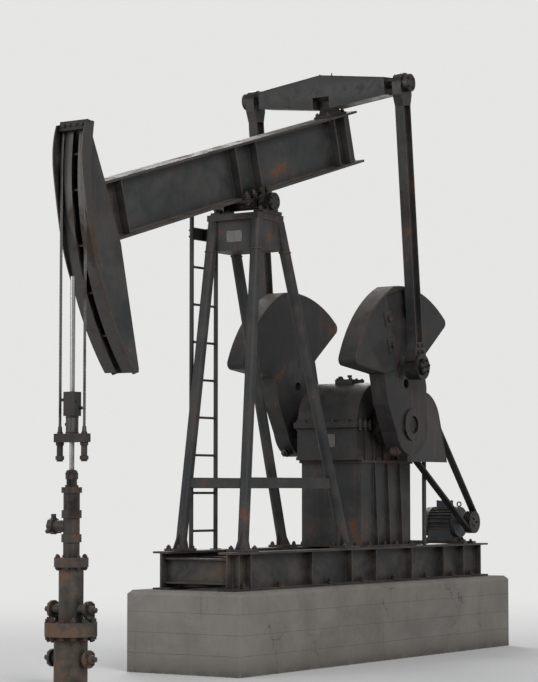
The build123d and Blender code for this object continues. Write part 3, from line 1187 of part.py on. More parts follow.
with BuildPart() as pedestal_cap:
    with Locations((pedestal_middle, 0, GEARBOX_BOTTOM)):
        Box(
            pedestal_length + 2 * PEDESTAL_PLATE, PEDESTAL_WIDTH + 2 * PEDESTAL_PLATE, PEDESTAL_CAP,
            align=(Align.CENTER, Align.CENTER, Align.MAX),
        )

# Belt drive: grooved sheaves, the belts as one fixed loop, and the motor
SHEAVE_PLANE = Plane(origin=(SHEAVE_SHAFT_X, BELT_Y, SHAFT_HEIGHT), x_dir=(1, 0, 0), z_dir=(0, -1, 0))
MOTOR_PLANE = Plane(origin=(MOTOR_X, BELT_Y, MOTOR_SHAFT_HEIGHT), x_dir=(1, 0, 0), z_dir=(0, -1, 0))
BELT_OFFSETS = [(i - (BELT_COUNT - 1) / 2) * BELT_PITCH for i in range(BELT_COUNT)]


def sheave(plane, radius, bore, width):
    """A sheave with one groove for each belt, as deep as the belt."""
    with BuildPart(mode=Mode.PRIVATE) as wheel:
        with BuildSketch(plane):
            Circle(radius)
            if bore > 0:
                Circle(bore / 2 + SEAT, mode=Mode.SUBTRACT)
        extrude(amount=width / 2, both=True)
        for offset_y in BELT_OFFSETS:
            with BuildSketch(plane.offset(offset_y)):
                Circle(radius + SEAT)
                Circle(radius - BELT_SIZE, mode=Mode.SUBTRACT)
            extrude(amount=(BELT_SIZE + 2 * SEAT) / 2, both=True, mode=Mode.SUBTRACT)
    return wheel.part


with BuildPart() as unit_sheave:
    add(sheave(SHEAVE_PLANE, UNIT_SHEAVE_RADIUS, 0.0, UNIT_SHEAVE_WIDTH))
    with BuildSketch(SHEAVE_PLANE):
        Circle(UNIT_SHEAVE_RADIUS - BELT_SIZE - SHEAVE_RIM)
        Circle(SHEAVE_HUB_RADIUS, mode=Mode.SUBTRACT)
        with PolarLocations(UNIT_SHEAVE_RADIUS / 2, SHEAVE_SPOKES):
            Rectangle(UNIT_SHEAVE_RADIUS, SHEAVE_SPOKE, mode=Mode.SUBTRACT)
    extrude(amount=UNIT_SHEAVE_WIDTH, both=True, mode=Mode.SUBTRACT)
    with BuildSketch(SHEAVE_PLANE.offset(BELT_Y - GUARD_OUTER_Y - 2 * GUARD_SHEET)):
        Circle(SHEAVE_SHAFT_DIAMETER / 2)
    extrude(amount=GUARD_OUTER_Y + 2 * GUARD_SHEET)

with BuildPart() as motor_sheave:
    add(sheave(MOTOR_PLANE, MOTOR_SHEAVE_RADIUS, MOTOR_SHAFT_DIAMETER, UNIT_SHEAVE_WIDTH))


def belt_outline(big, small):
    """The outline of a loop round both sheaves, at these radii."""
    run_x = MOTOR_X - SHEAVE_SHAFT_X
    run_z = MOTOR_SHAFT_HEIGHT - SHAFT_HEIGHT
    line = degrees(atan2(run_z, run_x))
    spread = degrees(acos((big - small) / hypot(run_x, run_z)))
    upper = radians(line + spread)
    lower = radians(line - spread)
    corners = [
        (big * cos(upper), big * sin(upper)),
        (run_x + small * cos(upper), run_z + small * sin(upper)),
        (run_x + small * cos(lower), run_z + small * sin(lower)),
        (big * cos(lower), big * sin(lower)),
    ]
    with BuildSketch(mode=Mode.PRIVATE) as loop:
        Circle(big)
        with Locations((run_x, run_z)):
            Circle(small)
        with BuildLine():
            Polyline(*corners, close=True)
        make_face()
    return loop.sketch


with BuildPart() as v_belts:
    for offset_y in BELT_OFFSETS:
        with BuildSketch(SHEAVE_PLANE.offset(offset_y)):
            add(belt_outline(UNIT_SHEAVE_RADIUS, MOTOR_SHEAVE_RADIUS))
            add(
                belt_outline(UNIT_SHEAVE_RADIUS - BELT_SIZE + SEAT, MOTOR_SHEAVE_RADIUS - BELT_SIZE + SEAT),
                mode=Mode.SUBTRACT,
            )
        extrude(amount=BELT_SIZE / 2, both=True)

with BuildPart() as motor:
    body_start = Plane(origin=(MOTOR_X, MOTOR_FRONT_Y, MOTOR_SHAFT_HEIGHT), x_dir=(-1, 0, 0), z_dir=(0, 1, 0))
    with BuildSketch(body_start):
        Circle(MOTOR_RADIUS)
    extrude(amount=MOTOR_SHIELD)
    with BuildSketch(body_start.offset(MOTOR_SHIELD)):
        Circle(MOTOR_RADIUS - FIN_HEIGHT)
        with PolarLocations(MOTOR_RADIUS - FIN_HEIGHT / 2 - SEAT, FIN_COUNT):
            Rectangle(FIN_HEIGHT, FIN)
    extrude(amount=MOTOR_LENGTH - MOTOR_SHIELD - MOTOR_COWL)
    with BuildSketch(body_start.offset(MOTOR_LENGTH - MOTOR_COWL)):
        Circle(MOTOR_RADIUS)
    with BuildSketch(body_start.offset(MOTOR_LENGTH)):
        Circle(MOTOR_RADIUS - MOTOR_COWL_STEP)
    loft()
    with Locations((MOTOR_X, MOTOR_FRONT_Y + MOTOR_LENGTH / 2, MOTOR_SHAFT_HEIGHT)):
        Box(
            TERMINAL_BOX_WIDTH, TERMINAL_BOX, MOTOR_RADIUS + TERMINAL_BOX_HEIGHT,
            align=(Align.CENTER, Align.CENTER, Align.MIN),
        )
    with Locations((MOTOR_X, MOTOR_FRONT_Y + MOTOR_LENGTH / 2, SKID_TOP + MOTOR_RAIL_HEIGHT)):
        Box(
            MOTOR_BASE_SPAN, MOTOR_BASE_LENGTH, MOTOR_SHAFT_HEIGHT - SKID_TOP - MOTOR_RAIL_HEIGHT,
            align=(Align.CENTER, Align.CENTER, Align.MIN),
        )
    with BuildSketch(body_start):
        Circle(MOTOR_SHAFT_DIAMETER / 2)
    extrude(amount=-(MOTOR_FRONT_Y - BELT_Y + UNIT_SHEAVE_WIDTH / 2))

with BuildPart() as motor_rails:
    rail_length = 2 * SKID_RAIL_Y + SKID_FLANGE_WIDTH
    for rail_x in (MOTOR_X - MOTOR_RAIL_OFFSET, MOTOR_X + MOTOR_RAIL_OFFSET):
        with Locations((rail_x, 0, SKID_TOP)):
            Box(MOTOR_RAIL_WIDTH, rail_length, MOTOR_RAIL_HEIGHT, align=(Align.CENTER, Align.CENTER, Align.MIN))

# Belt guard: an outer sheet with a rim round the top, open below and at the back
def guard_profile(inset):
    """The guard's outline seen from the near side, moved in by inset."""
    radius = GUARD_TOP_RADIUS - inset
    slope = radians(GUARD_SLOPE)
    with BuildSketch(mode=Mode.PRIVATE) as profile:
        with Locations((SHEAVE_SHAFT_X, SHAFT_HEIGHT)):
            Circle(radius)
        with BuildLine():
            Polyline(
                (SHEAVE_SHAFT_X - radius, SHAFT_HEIGHT),
                (GUARD_FRONT_FOOT + inset, GUARD_BOTTOM),
                (GUARD_REAR_FOOT - inset, GUARD_BOTTOM),
                (SHEAVE_SHAFT_X + radius * cos(slope), SHAFT_HEIGHT + radius * sin(slope)),
                close=True,
            )
        make_face()
        with Locations((SHEAVE_SHAFT_X, GUARD_BOTTOM)):
            Rectangle(4 * GUARD_TOP_RADIUS, GUARD_TOP_RADIUS, mode=Mode.SUBTRACT, align=(Align.CENTER, Align.MAX))
    return profile.sketch


with BuildPart() as belt_guard:
    with BuildSketch(at_y(SIDE_PLANE, GUARD_OUTER_Y)):
        add(guard_profile(0.0))
    extrude(amount=-GUARD_SHEET)
    with BuildSketch(at_y(SIDE_PLANE, GUARD_OUTER_Y)):
        add(guard_profile(0.0))
        add(guard_profile(GUARD_SHEET), mode=Mode.SUBTRACT)
        with Locations((SHEAVE_SHAFT_X, GUARD_RIM_END)):
            Rectangle(
                4 * GUARD_TOP_RADIUS, 2 * GUARD_TOP_RADIUS, mode=Mode.SUBTRACT, align=(Align.MIN, Align.MAX)
            )
        with Locations((SHEAVE_SHAFT_X, GUARD_BOTTOM + GUARD_SHEET)):
            Rectangle(
                4 * GUARD_TOP_RADIUS, GUARD_TOP_RADIUS, mode=Mode.SUBTRACT, align=(Align.CENTER, Align.MAX)
            )
    extrude(amount=-(GUARD_INNER_Y - GUARD_OUTER_Y))
    cap_lip_y = -(PEDESTAL_WIDTH / 2 + PEDESTAL_PLATE / 8)
    with Locations((GUARD_BRACKET_X, GUARD_OUTER_Y + GUARD_SHEET / 2, GEARBOX_BOTTOM)):
        Box(
            GUARD_BRACKET_WIDTH, cap_lip_y - GUARD_OUTER_Y - GUARD_SHEET / 2, GUARD_BRACKET,
            align=(Align.CENTER, Align.MIN, Align.MIN),
        )
    with Locations((GUARD_POST_X, GUARD_OUTER_Y + GUARD_SHEET / 2, GUARD_POST_TOP)):
        Box(
            GUARD_BRACKET_WIDTH, GUARD_POST_Y + GUARD_POST_DIAMETER / 2 - GUARD_OUTER_Y, GUARD_BRACKET,
            align=(Align.CENTER, Align.MIN, Align.MIN),
        )

with BuildPart() as guard_post:
    with Locations((GUARD_POST_X, GUARD_POST_Y, SKID_TOP)):
        Cylinder(
            GUARD_POST_DIAMETER / 2, GUARD_POST_TOP - SKID_TOP,
            align=(Align.CENTER, Align.CENTER, Align.MIN),
        )

# Ladder on the far side, with its brackets to the post
with BuildPart() as ladder:
    ladder_middle = (LADDER_FRONT + LADDER_REAR) / 2
    for rail_x in (LADDER_FRONT, LADDER_REAR):
        with Locations((rail_x, LADDER_Y, SKID_TOP)):
            Cylinder(LADDER_RAIL / 2, LADDER_TOP - SKID_TOP, align=(Align.CENTER, Align.CENTER, Align.MIN))
            Box(LADDER_FOOT_SIDE, LADDER_FOOT_SIDE, LADDER_FOOT, align=(Align.CENTER, Align.CENTER, Align.MIN))
    rung_plane = Plane(origin=(LADDER_FRONT, LADDER_Y, 0), x_dir=(0, 1, 0), z_dir=(1, 0, 0))
    with BuildSketch(rung_plane):
        with Locations([(0, LADDER_FIRST_RUNG + i * LADDER_PITCH) for i in range(LADDER_RUNGS)]):
            Circle(LADDER_RUNG_DIAMETER / 2)
    extrude(amount=LADDER_REAR - LADDER_FRONT)
    bracket_y = HEAD_BOX_WIDTH / 2
    for rail_x in (LADDER_BRACKET_FRONT, LADDER_BRACKET_REAR):
        with Locations((rail_x, bracket_y, LADDER_BRACKET_HEIGHT)):
            Box(
                LADDER_BRACKET, LADDER_Y - bracket_y, LADDER_BRACKET_DEPTH,
                align=(Align.CENTER, Align.MIN, Align.CENTER),
            )
    with Locations((ladder_middle, LADDER_Y, LADDER_BRACKET_HEIGHT)):
        Box(LADDER_REAR - LADDER_FRONT, LADDER_BRACKET, LADDER_BRACKET_DEPTH)

NODES = {
    "foundation": foundation,
    "skid_rails": skid_rails,
    "skid_cross_members": skid_cross_members,
    "front_legs": front_legs,
    "rear_legs": rear_legs,
    "side_ties": side_ties,
    "cross_ties": cross_ties,
    "post_head": post_head,
    "saddle_bearings": saddle_bearings,
    "saddle": saddle,
    "saddle_shaft": saddle_shaft,
    "walking_beam": walking_beam,
    "head_side_plates": head_side_plates,
    "head_back_plate": head_back_plate,
    "head_track": head_track,
    "head_ribs": head_ribs,
    "wire_wraps": wire_wraps,
    "wire_anchor": wire_anchor,
    "wire_lines": wire_lines,
    "carrier_bar": carrier_bar,
    "load_cell": load_cell,
    "rod_clamp": rod_clamp,
    "polished_rod": polished_rod,
    "casing_head": casing_head,
    "tubing_head": tubing_head,
    "pumping_tee": pumping_tee,
    "stuffing_box": stuffing_box,
    "tail_bearing_stand": tail_bearing_stand,
    "equalizer": equalizer,
    "tail_shaft": tail_shaft,
    "pitman_pins": pitman_pins,
    "near_pitman": near_pitman,
    "far_pitman": far_pitman,
    "wrist_pins": wrist_pins,
    "crankshaft": crankshaft,
    "near_crank": near_crank,
    "far_crank": far_crank,
    "near_counterweights": near_counterweights,
    "far_counterweights": far_counterweights,
    "gearbox_lower_case": gearbox_lower_case,
    "gearbox_upper_case": gearbox_upper_case,
    "breather": breather,
    "bearing_caps": bearing_caps,
    "pedestal_sides": pedestal_sides,
    "pedestal_ends": pedestal_ends,
    "pedestal_cap": pedestal_cap,
    "unit_sheave": unit_sheave,
    "motor_sheave": motor_sheave,
    "v_belts": v_belts,
    "motor": motor,
    "motor_rails": motor_rails,
    "belt_guard": belt_guard,
    "guard_post": guard_post,
    "ladder": ladder,
}

for name, piece in NODES.items():
    piece.part.label = name
    export_step(piece.part, f"parts/{name}.step")
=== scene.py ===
"""Beam pumping unit over an oil well: the finishes and small parts on its fixed frame.

Metres. The origin is on the ground under the saddle bearing, +X runs from the well towards the motor,
+Z is up and +Y is the far side. The machine stands at the bottom of its stroke.
"""
import json
from math import cos, pi, radians, sin

import bmesh
import bpy
import numpy as np
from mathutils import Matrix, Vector


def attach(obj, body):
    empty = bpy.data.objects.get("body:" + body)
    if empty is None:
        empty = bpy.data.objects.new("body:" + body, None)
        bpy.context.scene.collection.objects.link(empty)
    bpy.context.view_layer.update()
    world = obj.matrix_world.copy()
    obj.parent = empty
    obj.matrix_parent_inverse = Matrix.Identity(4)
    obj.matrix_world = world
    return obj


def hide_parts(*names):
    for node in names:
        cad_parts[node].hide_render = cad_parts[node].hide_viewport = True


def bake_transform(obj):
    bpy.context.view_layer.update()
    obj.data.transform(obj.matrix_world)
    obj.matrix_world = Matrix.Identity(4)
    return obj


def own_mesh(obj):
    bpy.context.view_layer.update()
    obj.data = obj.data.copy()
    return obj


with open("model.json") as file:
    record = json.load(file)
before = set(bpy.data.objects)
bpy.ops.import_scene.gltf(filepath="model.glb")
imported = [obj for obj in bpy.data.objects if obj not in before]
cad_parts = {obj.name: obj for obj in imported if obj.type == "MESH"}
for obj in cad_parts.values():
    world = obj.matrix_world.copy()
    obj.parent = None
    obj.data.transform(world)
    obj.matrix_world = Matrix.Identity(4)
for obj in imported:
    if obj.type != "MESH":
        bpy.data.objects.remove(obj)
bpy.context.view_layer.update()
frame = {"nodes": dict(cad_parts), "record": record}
rng = np.random.default_rng(7)

# Directions, the near and far sides, and the corners of an oblong
AHEAD = np.array((1.0, 0.0, 0.0))
FAR = np.array((0.0, 1.0, 0.0))
UP = np.array((0.0, 0.0, 1.0))
SIDES = (-1, 1)
CORNERS = ((-1, -1), (1, -1), (1, 1), (-1, 1))

# Walking beam: its sizes are measured along it and square to it from the saddle's axis
PIVOT = np.array((0.0, 0.0, 3.750))
BEAM_TILT = radians(16.4)
ALONG_BEAM = np.array((cos(BEAM_TILT), 0.0, sin(BEAM_TILT)))
SQUARE_TO_BEAM = np.array((-sin(BEAM_TILT), 0.0, cos(BEAM_TILT)))
BEAM_UNDERSIDE = 0.052
BEAM_TOP = BEAM_UNDERSIDE + 0.452
BEAM_FLANGE = 0.020
WEB_LOW = BEAM_UNDERSIDE + BEAM_FLANGE
WEB_HIGH = BEAM_TOP - BEAM_FLANGE
BEAM_HALF_WIDTH = 0.100
TRACK_RADIUS = 2.211
TAIL = np.array((1.225, 0.0, 4.852))

# Gearbox, motor, cranks and pitmans
SHAFT = np.array((1.590, 0.0, 1.980))
SECOND_SHAFT = np.array((1.862, 0.0, 1.980))
INPUT_SHAFT = np.array((2.050, 0.0, 1.980))
MOTOR_AXIS = np.array((3.018, 0.0, 1.135))
CRANK_LEAN = radians(15.3)
CRANK_OUT = np.array((-sin(CRANK_LEAN), 0.0, cos(CRANK_LEAN)))
CRANK_SIDE = np.array((cos(CRANK_LEAN), 0.0, sin(CRANK_LEAN)))
WRIST = SHAFT + 0.500 * CRANK_OUT
PITMAN_LENGTH = float(np.linalg.norm(TAIL - WRIST))
PITMAN_UP = (TAIL - WRIST) / PITMAN_LENGTH
PITMAN_SIDE = np.array((PITMAN_UP[2], 0.0, -PITMAN_UP[0]))

# Well, wires and carrier bar
WIRE_RADIUS = 0.011
WIRE_Y = 0.113
ROD_X = -(TRACK_RADIUS + WIRE_RADIUS + 0.0003)
WELL = np.array((ROD_X, 0.0, 0.0))
CARRIER_TOP = 1.829


def unit(vectors):
    """The same directions with length one."""
    return vectors / np.linalg.norm(vectors, axis=-1, keepdims=True)


# Shapes: an array of points, and a list of arrays of faces
def lofted(rings, closed=False):
    """Rings of points joined into a skin: point j of ring i is number i * sides + j, and each face joins it
    to the next point and the next ring. The ends have flat faces unless the skin is closed."""
    count, sides = rings.shape[:2]
    point = np.arange(sides)[None]
    next_point = (point + 1) % sides
    ring = np.arange(count if closed else count - 1)[:, None]
    next_ring = (ring + 1) % count
    corners = (
        ring * sides + point, ring * sides + next_point,
        next_ring * sides + next_point, next_ring * sides + point,
    )
    faces = [np.stack(np.broadcast_arrays(*corners), -1).reshape(-1, 4)]
    if not closed:
        faces += [point[:, ::-1], point + (count - 1) * sides]
    return rings.reshape(-1, 3), faces


def turned(profile, sides=32):
    """A profile of (radius, height) pairs turned about Z: each point is radius times the unit circle."""
    profile = np.asarray(profile, float)
    angle = np.linspace(0, 2 * pi, sides, endpoint=False)
    circle = np.stack([np.cos(angle), np.sin(angle), np.zeros(sides)], 1)
    return lofted(profile[:, None, :1] * circle[None] + profile[:, None, 1:] * UP)


def square_to(path, up, closed=False):
    """Two directions square to a path at each of its points, the first begun towards up."""
    tangent = unit(np.roll(path, -1, 0) - np.roll(path, 1, 0) if closed else np.gradient(path, axis=0))
    side = unit(np.cross(tangent, up))
    return np.cross(side, tangent), side


def run_along(path):
    """The distance run at each point of a path."""
    return np.concatenate([[0.0], np.cumsum(np.linalg.norm(np.diff(path, axis=0), axis=1))])


def tube(path, radius, sides=10, up=UP, closed=False):
    """A round section carried along a path: path + radius (cos a lift + sin a side) at each angle a."""
    path = np.asarray(path, float)
    lift, side = square_to(path, up, closed)
    reach = np.broadcast_to(radius, len(path))[:, None, None]
    angle = np.linspace(0, 2 * pi, sides, endpoint=False)[None, :, None]
    rings = path[:, None] + reach * (np.cos(angle) * lift[:, None] + np.sin(angle) * side[:, None])
    return lofted(rings, closed)


def block(length, width, height):
    """A block on its base's middle."""
    base = np.array([(a * length / 2, b * width / 2, 0.0) for a, b in CORNERS])
    return lofted(np.stack([base, base + height * UP]))


def joined(*shapes):
    """Several shapes as one: their points in one array, each one's faces moved up by the points before."""
    starts = np.cumsum([0] + [len(points) for points, faces in shapes])
    moved = [group + start for (points, faces), start in zip(shapes, starts) for group in faces]
    return np.concatenate([points for points, faces in shapes]), moved


def frame_at(origin, out, along=None):
    """A frame whose Z is out and whose X is near along, as a 4 by 4 array."""
    out = unit(out)
    if along is None:
        along = AHEAD if abs(out[0]) < 0.9 else UP
    along = unit(along - out * np.dot(along, out))
    matrix = np.eye(4)
    matrix[:3] = np.stack([along, np.cross(out, along), out, origin], 1)
    return matrix


def facing(out, places, along=None):
    """Frames at many places that all face out."""
    return [frame_at(place, out, along) for place in places]


def shifted(base, x, y, z):
    """A frame moved along its own axes."""
    moved = base.copy()
    moved[:3, 3] += x * base[:3, 0] + y * base[:3, 1] + z * base[:3, 2]
    return moved


def copies(shape, frames):
    """One shape set down at each of many frames: every point turned and moved by every frame."""
    points, faces = shape
    frames = np.asarray(frames, float)
    moved = np.einsum("kij,nj->kni", frames[:, :3, :3], points) + frames[:, None, :3, 3]
    shift = (np.arange(len(frames)) * len(points))[:, None, None]
    return moved.reshape(-1, 3), [(group[None] + shift).reshape(-1, group.shape[1]) for group in faces]


def placed(shape, origin, out):
    """The shape at one frame."""
    return copies(shape, [frame_at(origin, out)])


def beam_point(u, v, y=0.0):
    """A point u along the walking beam from the pivot and v square to it."""
    return PIVOT + u * ALONG_BEAM + v * SQUARE_TO_BEAM + y * FAR


def crank_point(u, v, y=0.0):
    """A point u across the crank from the shaft and v out along it."""
    return SHAFT + u * CRANK_SIDE + v * CRANK_OUT + y * FAR


def pitman_point(u, v, y=0.0):
    """A point u across the pitman from its upper pin and v up along it."""
    return TAIL + u * PITMAN_SIDE + v * PITMAN_UP + y * FAR


def head_point(radius, angle, y=0.0):
    """A point of the head at an angle in degrees above the beam's line, from the pivot."""
    return beam_point(-radius * cos(radians(angle)), radius * sin(radians(angle)), y)


# Shader helpers
def node_of(tree, kind, inputs=None, **settings):
    """A node with its settings, and its inputs as values or as other nodes' sockets."""
    node = tree.nodes.new(kind)
    for key, value in settings.items():
        setattr(node, key, value)
    for key, value in (inputs or {}).items():
        if isinstance(value, bpy.types.NodeSocket):
            tree.links.new(value, node.inputs[key])
        else:
            node.inputs[key].default_value = value
    return node


def maths(tree, operation, a, b=0.0, clamp=False):
    """One sum of two values or sockets."""
    return node_of(tree, "ShaderNodeMath", {0: a, 1: b}, operation=operation, use_clamp=clamp).outputs[0]


def times(tree, a, b):
    """The product of two values or sockets."""
    return maths(tree, "MULTIPLY", a, b)


def larger(tree, a, b):
    """The larger of two values or sockets."""
    return maths(tree, "MAXIMUM", a, b)


def vector_maths(tree, operation, a, b=(0.0, 0.0, 0.0)):
    """One sum of two vectors, as its node's outputs."""
    return node_of(tree, "ShaderNodeVectorMath", {0: a, 1: b}, operation=operation).outputs


def z_of(tree, vector):
    """A vector's Z."""
    return node_of(tree, "ShaderNodeSeparateXYZ", {0: vector}).outputs["Z"]


def mixed(tree, share, a, b):
    """The colour a, with b over it by share. A colour is a socket or three numbers."""
    a, b = (colour if isinstance(colour, bpy.types.NodeSocket) else (*colour, 1.0) for colour in (a, b))
    return node_of(tree, "ShaderNodeMix", {0: share, 6: a, 7: b}, data_type="RGBA").outputs[2]


def stepped(tree, value, low, high, to_low=0.0, to_high=1.0):
    """The value's stretch from low to high spread smoothly over another."""
    inputs = {0: value, 1: low, 2: high, 3: to_low, 4: to_high}
    return node_of(tree, "ShaderNodeMapRange", inputs, interpolation_type="SMOOTHSTEP").outputs[0]


def noise(tree, vector, scale, detail=4.0, roughness=0.55, distortion=0.0):
    """Cloudy noise, from 0 to 1."""
    inputs = {"Vector": vector, "Scale": scale, "Detail": detail}
    inputs |= {"Roughness": roughness, "Distortion": distortion}
    return node_of(tree, "ShaderNodeTexNoise", inputs).outputs["Fac"]


# Bearings and glands that weep oil, and how far it spreads
OILY = (
    (PIVOT, 0.20), (TAIL, 0.17), (WRIST, 0.17), (SHAFT, 0.26), (INPUT_SHAFT, 0.13), (MOTOR_AXIS, 0.09),
    (WELL + 1.500 * UP, 0.19), (WELL + 1.290 * UP, 0.13),
)


def make_wear_group():
    """Where paint is worn to an edge, grime and painted shade gather in hollows, rain runs, dust lies and oil
    weeps, and two noises.
    """
    tree = bpy.data.node_groups.new("wear", "ShaderNodeTree")
    for name, kind in (("Vector", "Vector"), ("Up", "Vector"), ("Edge", "Float")):
        tree.interface.new_socket(name=name, in_out="INPUT", socket_type="NodeSocket" + kind)
    given = tree.nodes.new("NodeGroupInput").outputs
    vector = given["Vector"]
    rounded = node_of(tree, "ShaderNodeBevel", {"Radius": given["Edge"]}, samples=4).outputs[0]
    flat = tree.nodes.new("ShaderNodeNewGeometry").outputs["Normal"]
    turn = stepped(tree, vector_maths(tree, "DOT_PRODUCT", rounded, flat)["Value"], 0.985, 0.86)
    broken = noise(tree, vector, 34.0, 5.0, 0.7)
    # Painted shade: ambient occlusion darkens the hollows and corners, and a cloud breaks it up as grime
    open_sky = node_of(tree, "ShaderNodeAmbientOcclusion", {"Distance": 0.12}, samples=5, only_local=False)
    shade_in_hollows = stepped(tree, open_sky.outputs["AO"], 0.86, 0.35)
    cloud = noise(tree, vector, 6.5, 5.0, 0.62)
    falling = noise(tree, vector_maths(tree, "MULTIPLY", vector, (26.0, 26.0, 1.3))[0], 1.0, 4.0, 0.6)
    where = noise(tree, vector, 1.7, 3.0, 0.5)
    side_on = vector_maths(tree, "MULTIPLY", vector, (1.0, 0.0, 1.0))[0]
    near = 0.0
    for place, reach in OILY:
        away = vector_maths(tree, "DISTANCE", side_on, place)["Value"]
        near = larger(tree, near, stepped(tree, away, reach, 0.4 * reach))
    smeared = noise(tree, vector, 13.0, 5.0, 0.6)
    results = {
        "Edges": times(tree, turn, stepped(tree, broken, 0.42, 0.62)),
        "Grime_and_shade": times(tree, shade_in_hollows, stepped(tree, cloud, 0.25, 0.6)),
        "Runs": times(tree, stepped(tree, falling, 0.52, 0.72), stepped(tree, where, 0.4, 0.62)),
        "Dust": times(tree, stepped(tree, z_of(tree, given["Up"]), 0.35, 0.95), stepped(tree, cloud, 0.2, 0.66)),
        "Patches": noise(tree, vector, 3.1, 7.0, 0.68, 0.35),
        "Grain": noise(tree, vector, 160.0, 3.0, 0.6),
        "Oil": times(tree, near, stepped(tree, smeared, 0.36, 0.54)),
    }
    for name in results:
        tree.interface.new_socket(name=name, in_out="OUTPUT", socket_type="NodeSocketFloat")
    leave = tree.nodes.new("NodeGroupOutput")
    for name, socket in results.items():
        tree.links.new(socket, leave.inputs[name])
    return tree


WEAR = make_wear_group()


def new_material(name):
    """An empty material with its tree, its Principled shader and its coordinates."""
    material = bpy.data.materials.new(name)
    material.use_nodes = True
    tree = material.node_tree
    tree.nodes.clear()
    shader = tree.nodes.new("ShaderNodeBsdfPrincipled")
    node_of(tree, "ShaderNodeOutputMaterial", {0: shader.outputs[0]})
    return material, tree, shader, tree.nodes.new("ShaderNodeTexCoord").outputs


def worn_material(name, edge=0.006):
    """A new material with the wear group's masks, its edges worn this far in."""
    material, tree, shader, places = new_material(name)
    inputs = {"Vector": places["Object"], "Up": places["Normal"], "Edge": edge}
    wear = node_of(tree, "ShaderNodeGroup", inputs, node_tree=WEAR).outputs
    return material, tree, shader, places["Object"], wear


def add_bump(tree, shader, height, distance):
    """A bump on the shader from a height."""
    bump = node_of(tree, "ShaderNodeBump", {"Height": height, "Distance": distance, "Strength": 1.0})
    tree.links.new(bump.outputs[0], shader.inputs["Normal"])


# Colours, as linear red, green and blue
RUST = (0.150, 0.060, 0.026)
MUD = (0.105, 0.084, 0.060)
# Painted shade with grime: the dark laid into hollows through the occlusion mask
GRIME_AND_SHADE = (0.010, 0.009, 0.008)
DUST = (0.170, 0.140, 0.105)
OIL = (0.008, 0.0065, 0.005)


def worn_paint(name, paint, worn, amount, gloss=0.5, edge=0.011, relief=0.0012, rust=RUST):
    """Old machine paint: faded in patches, rusty at its edges, in chips and in runs, muddy low down, dusty on
    top and oily at the bearings. Amount is how far the rust has gone, from 0 to 1."""
    material, tree, shader, vector, wear = worn_material(name, edge)
    patches = wear["Patches"]
    faded = mixed(tree, stepped(tree, patches, 0.36, 0.66), paint, worn)
    stained = mixed(tree, times(tree, wear["Runs"], 0.95 * amount), faded, [0.6 * c for c in rust])
    chips = times(tree, noise(tree, vector, 21.0, 6.0, 0.75), 0.6)
    chips = maths(tree, "ADD", chips, times(tree, patches, 0.4))
    chipped = stepped(tree, chips, 0.635 - 0.06 * amount, 0.650 - 0.06 * amount)
    blotches = stepped(tree, patches, 0.715 - 0.16 * amount, 0.745 - 0.16 * amount)
    rusty = larger(tree, times(tree, wear["Edges"], 0.95), times(tree, blotches, 0.9))
    rusty = larger(tree, rusty, times(tree, chipped, 0.85))
    mottled = mixed(tree, stepped(tree, wear["Grain"], 0.35, 0.65), rust, [0.42 * c for c in rust])
    colour = mixed(tree, rusty, stained, mottled)
    low = stepped(tree, z_of(tree, vector), 1.35, 0.62)
    splashed = times(tree, low, stepped(tree, patches, 0.40, 0.62))
    # The second mix lays painted shade with grime into the hollows, through the occlusion mask
    for mask, share, dirt in (
        (splashed, 0.42, MUD), (wear["Grime_and_shade"], 0.75, GRIME_AND_SHADE), (wear["Dust"], 0.45, DUST), (wear["Oil"], 0.85, OIL),
    ):
        colour = mixed(tree, times(tree, mask, share), colour, dirt)
    tree.links.new(colour, shader.inputs["Base Color"])
    rough = stepped(tree, patches, 0.3, 0.75, gloss, gloss + 0.2)
    rough = larger(tree, rough, times(tree, rusty, 0.82))
    rough = larger(tree, rough, times(tree, wear["Dust"], 0.85))
    rough = times(tree, rough, maths(tree, "SUBTRACT", 1.0, wear["Oil"]))
    rough = maths(tree, "ADD", rough, times(tree, wear["Oil"], 0.2))
    tree.links.new(rough, shader.inputs["Roughness"])
    height = maths(tree, "ADD", times(tree, wear["Grain"], 0.35), times(tree, rusty, -0.5))
    add_bump(tree, shader, maths(tree, "ADD", height, times(tree, patches, 0.5)), relief)
    shader.inputs["Specular IOR Level"].default_value = 0.3
    return material


def bare_metal(name, colour, rust, amount, gloss, relief=0.0006):
    """Unpainted steel: dull and brown in patches, brighter where it is clean."""
    material, tree, shader, _, wear = worn_material(name)
    brown = stepped(tree, wear["Patches"], 0.66 - 0.28 * amount, 0.78 - 0.2 * amount)
    brown = larger(tree, brown, times(tree, wear["Runs"], amount))
    tint = mixed(tree, stepped(tree, wear["Grain"], 0.3, 0.7), colour, [0.7 * c for c in colour])
    tint = mixed(tree, brown, tint, rust)
    # Painted shade with grime: darkens the hollows through the occlusion mask
    tint = mixed(tree, times(tree, wear["Grime_and_shade"], 0.8), tint, (0.012, 0.010, 0.009))
    tint = mixed(tree, times(tree, wear["Oil"], 0.5), tint, (0.012, 0.010, 0.008))
    metallic = maths(tree, "SUBTRACT", 1.0, times(tree, brown, 0.85), True)
    rough = maths(tree, "ADD", times(tree, brown, 0.4), gloss, True)
    for socket, target in ((tint, "Base Color"), (metallic, "Metallic"), (rough, "Roughness")):
        tree.links.new(socket, shader.inputs[target])
    add_bump(tree, shader, maths(tree, "ADD", wear["Grain"], brown), relief)
    return material


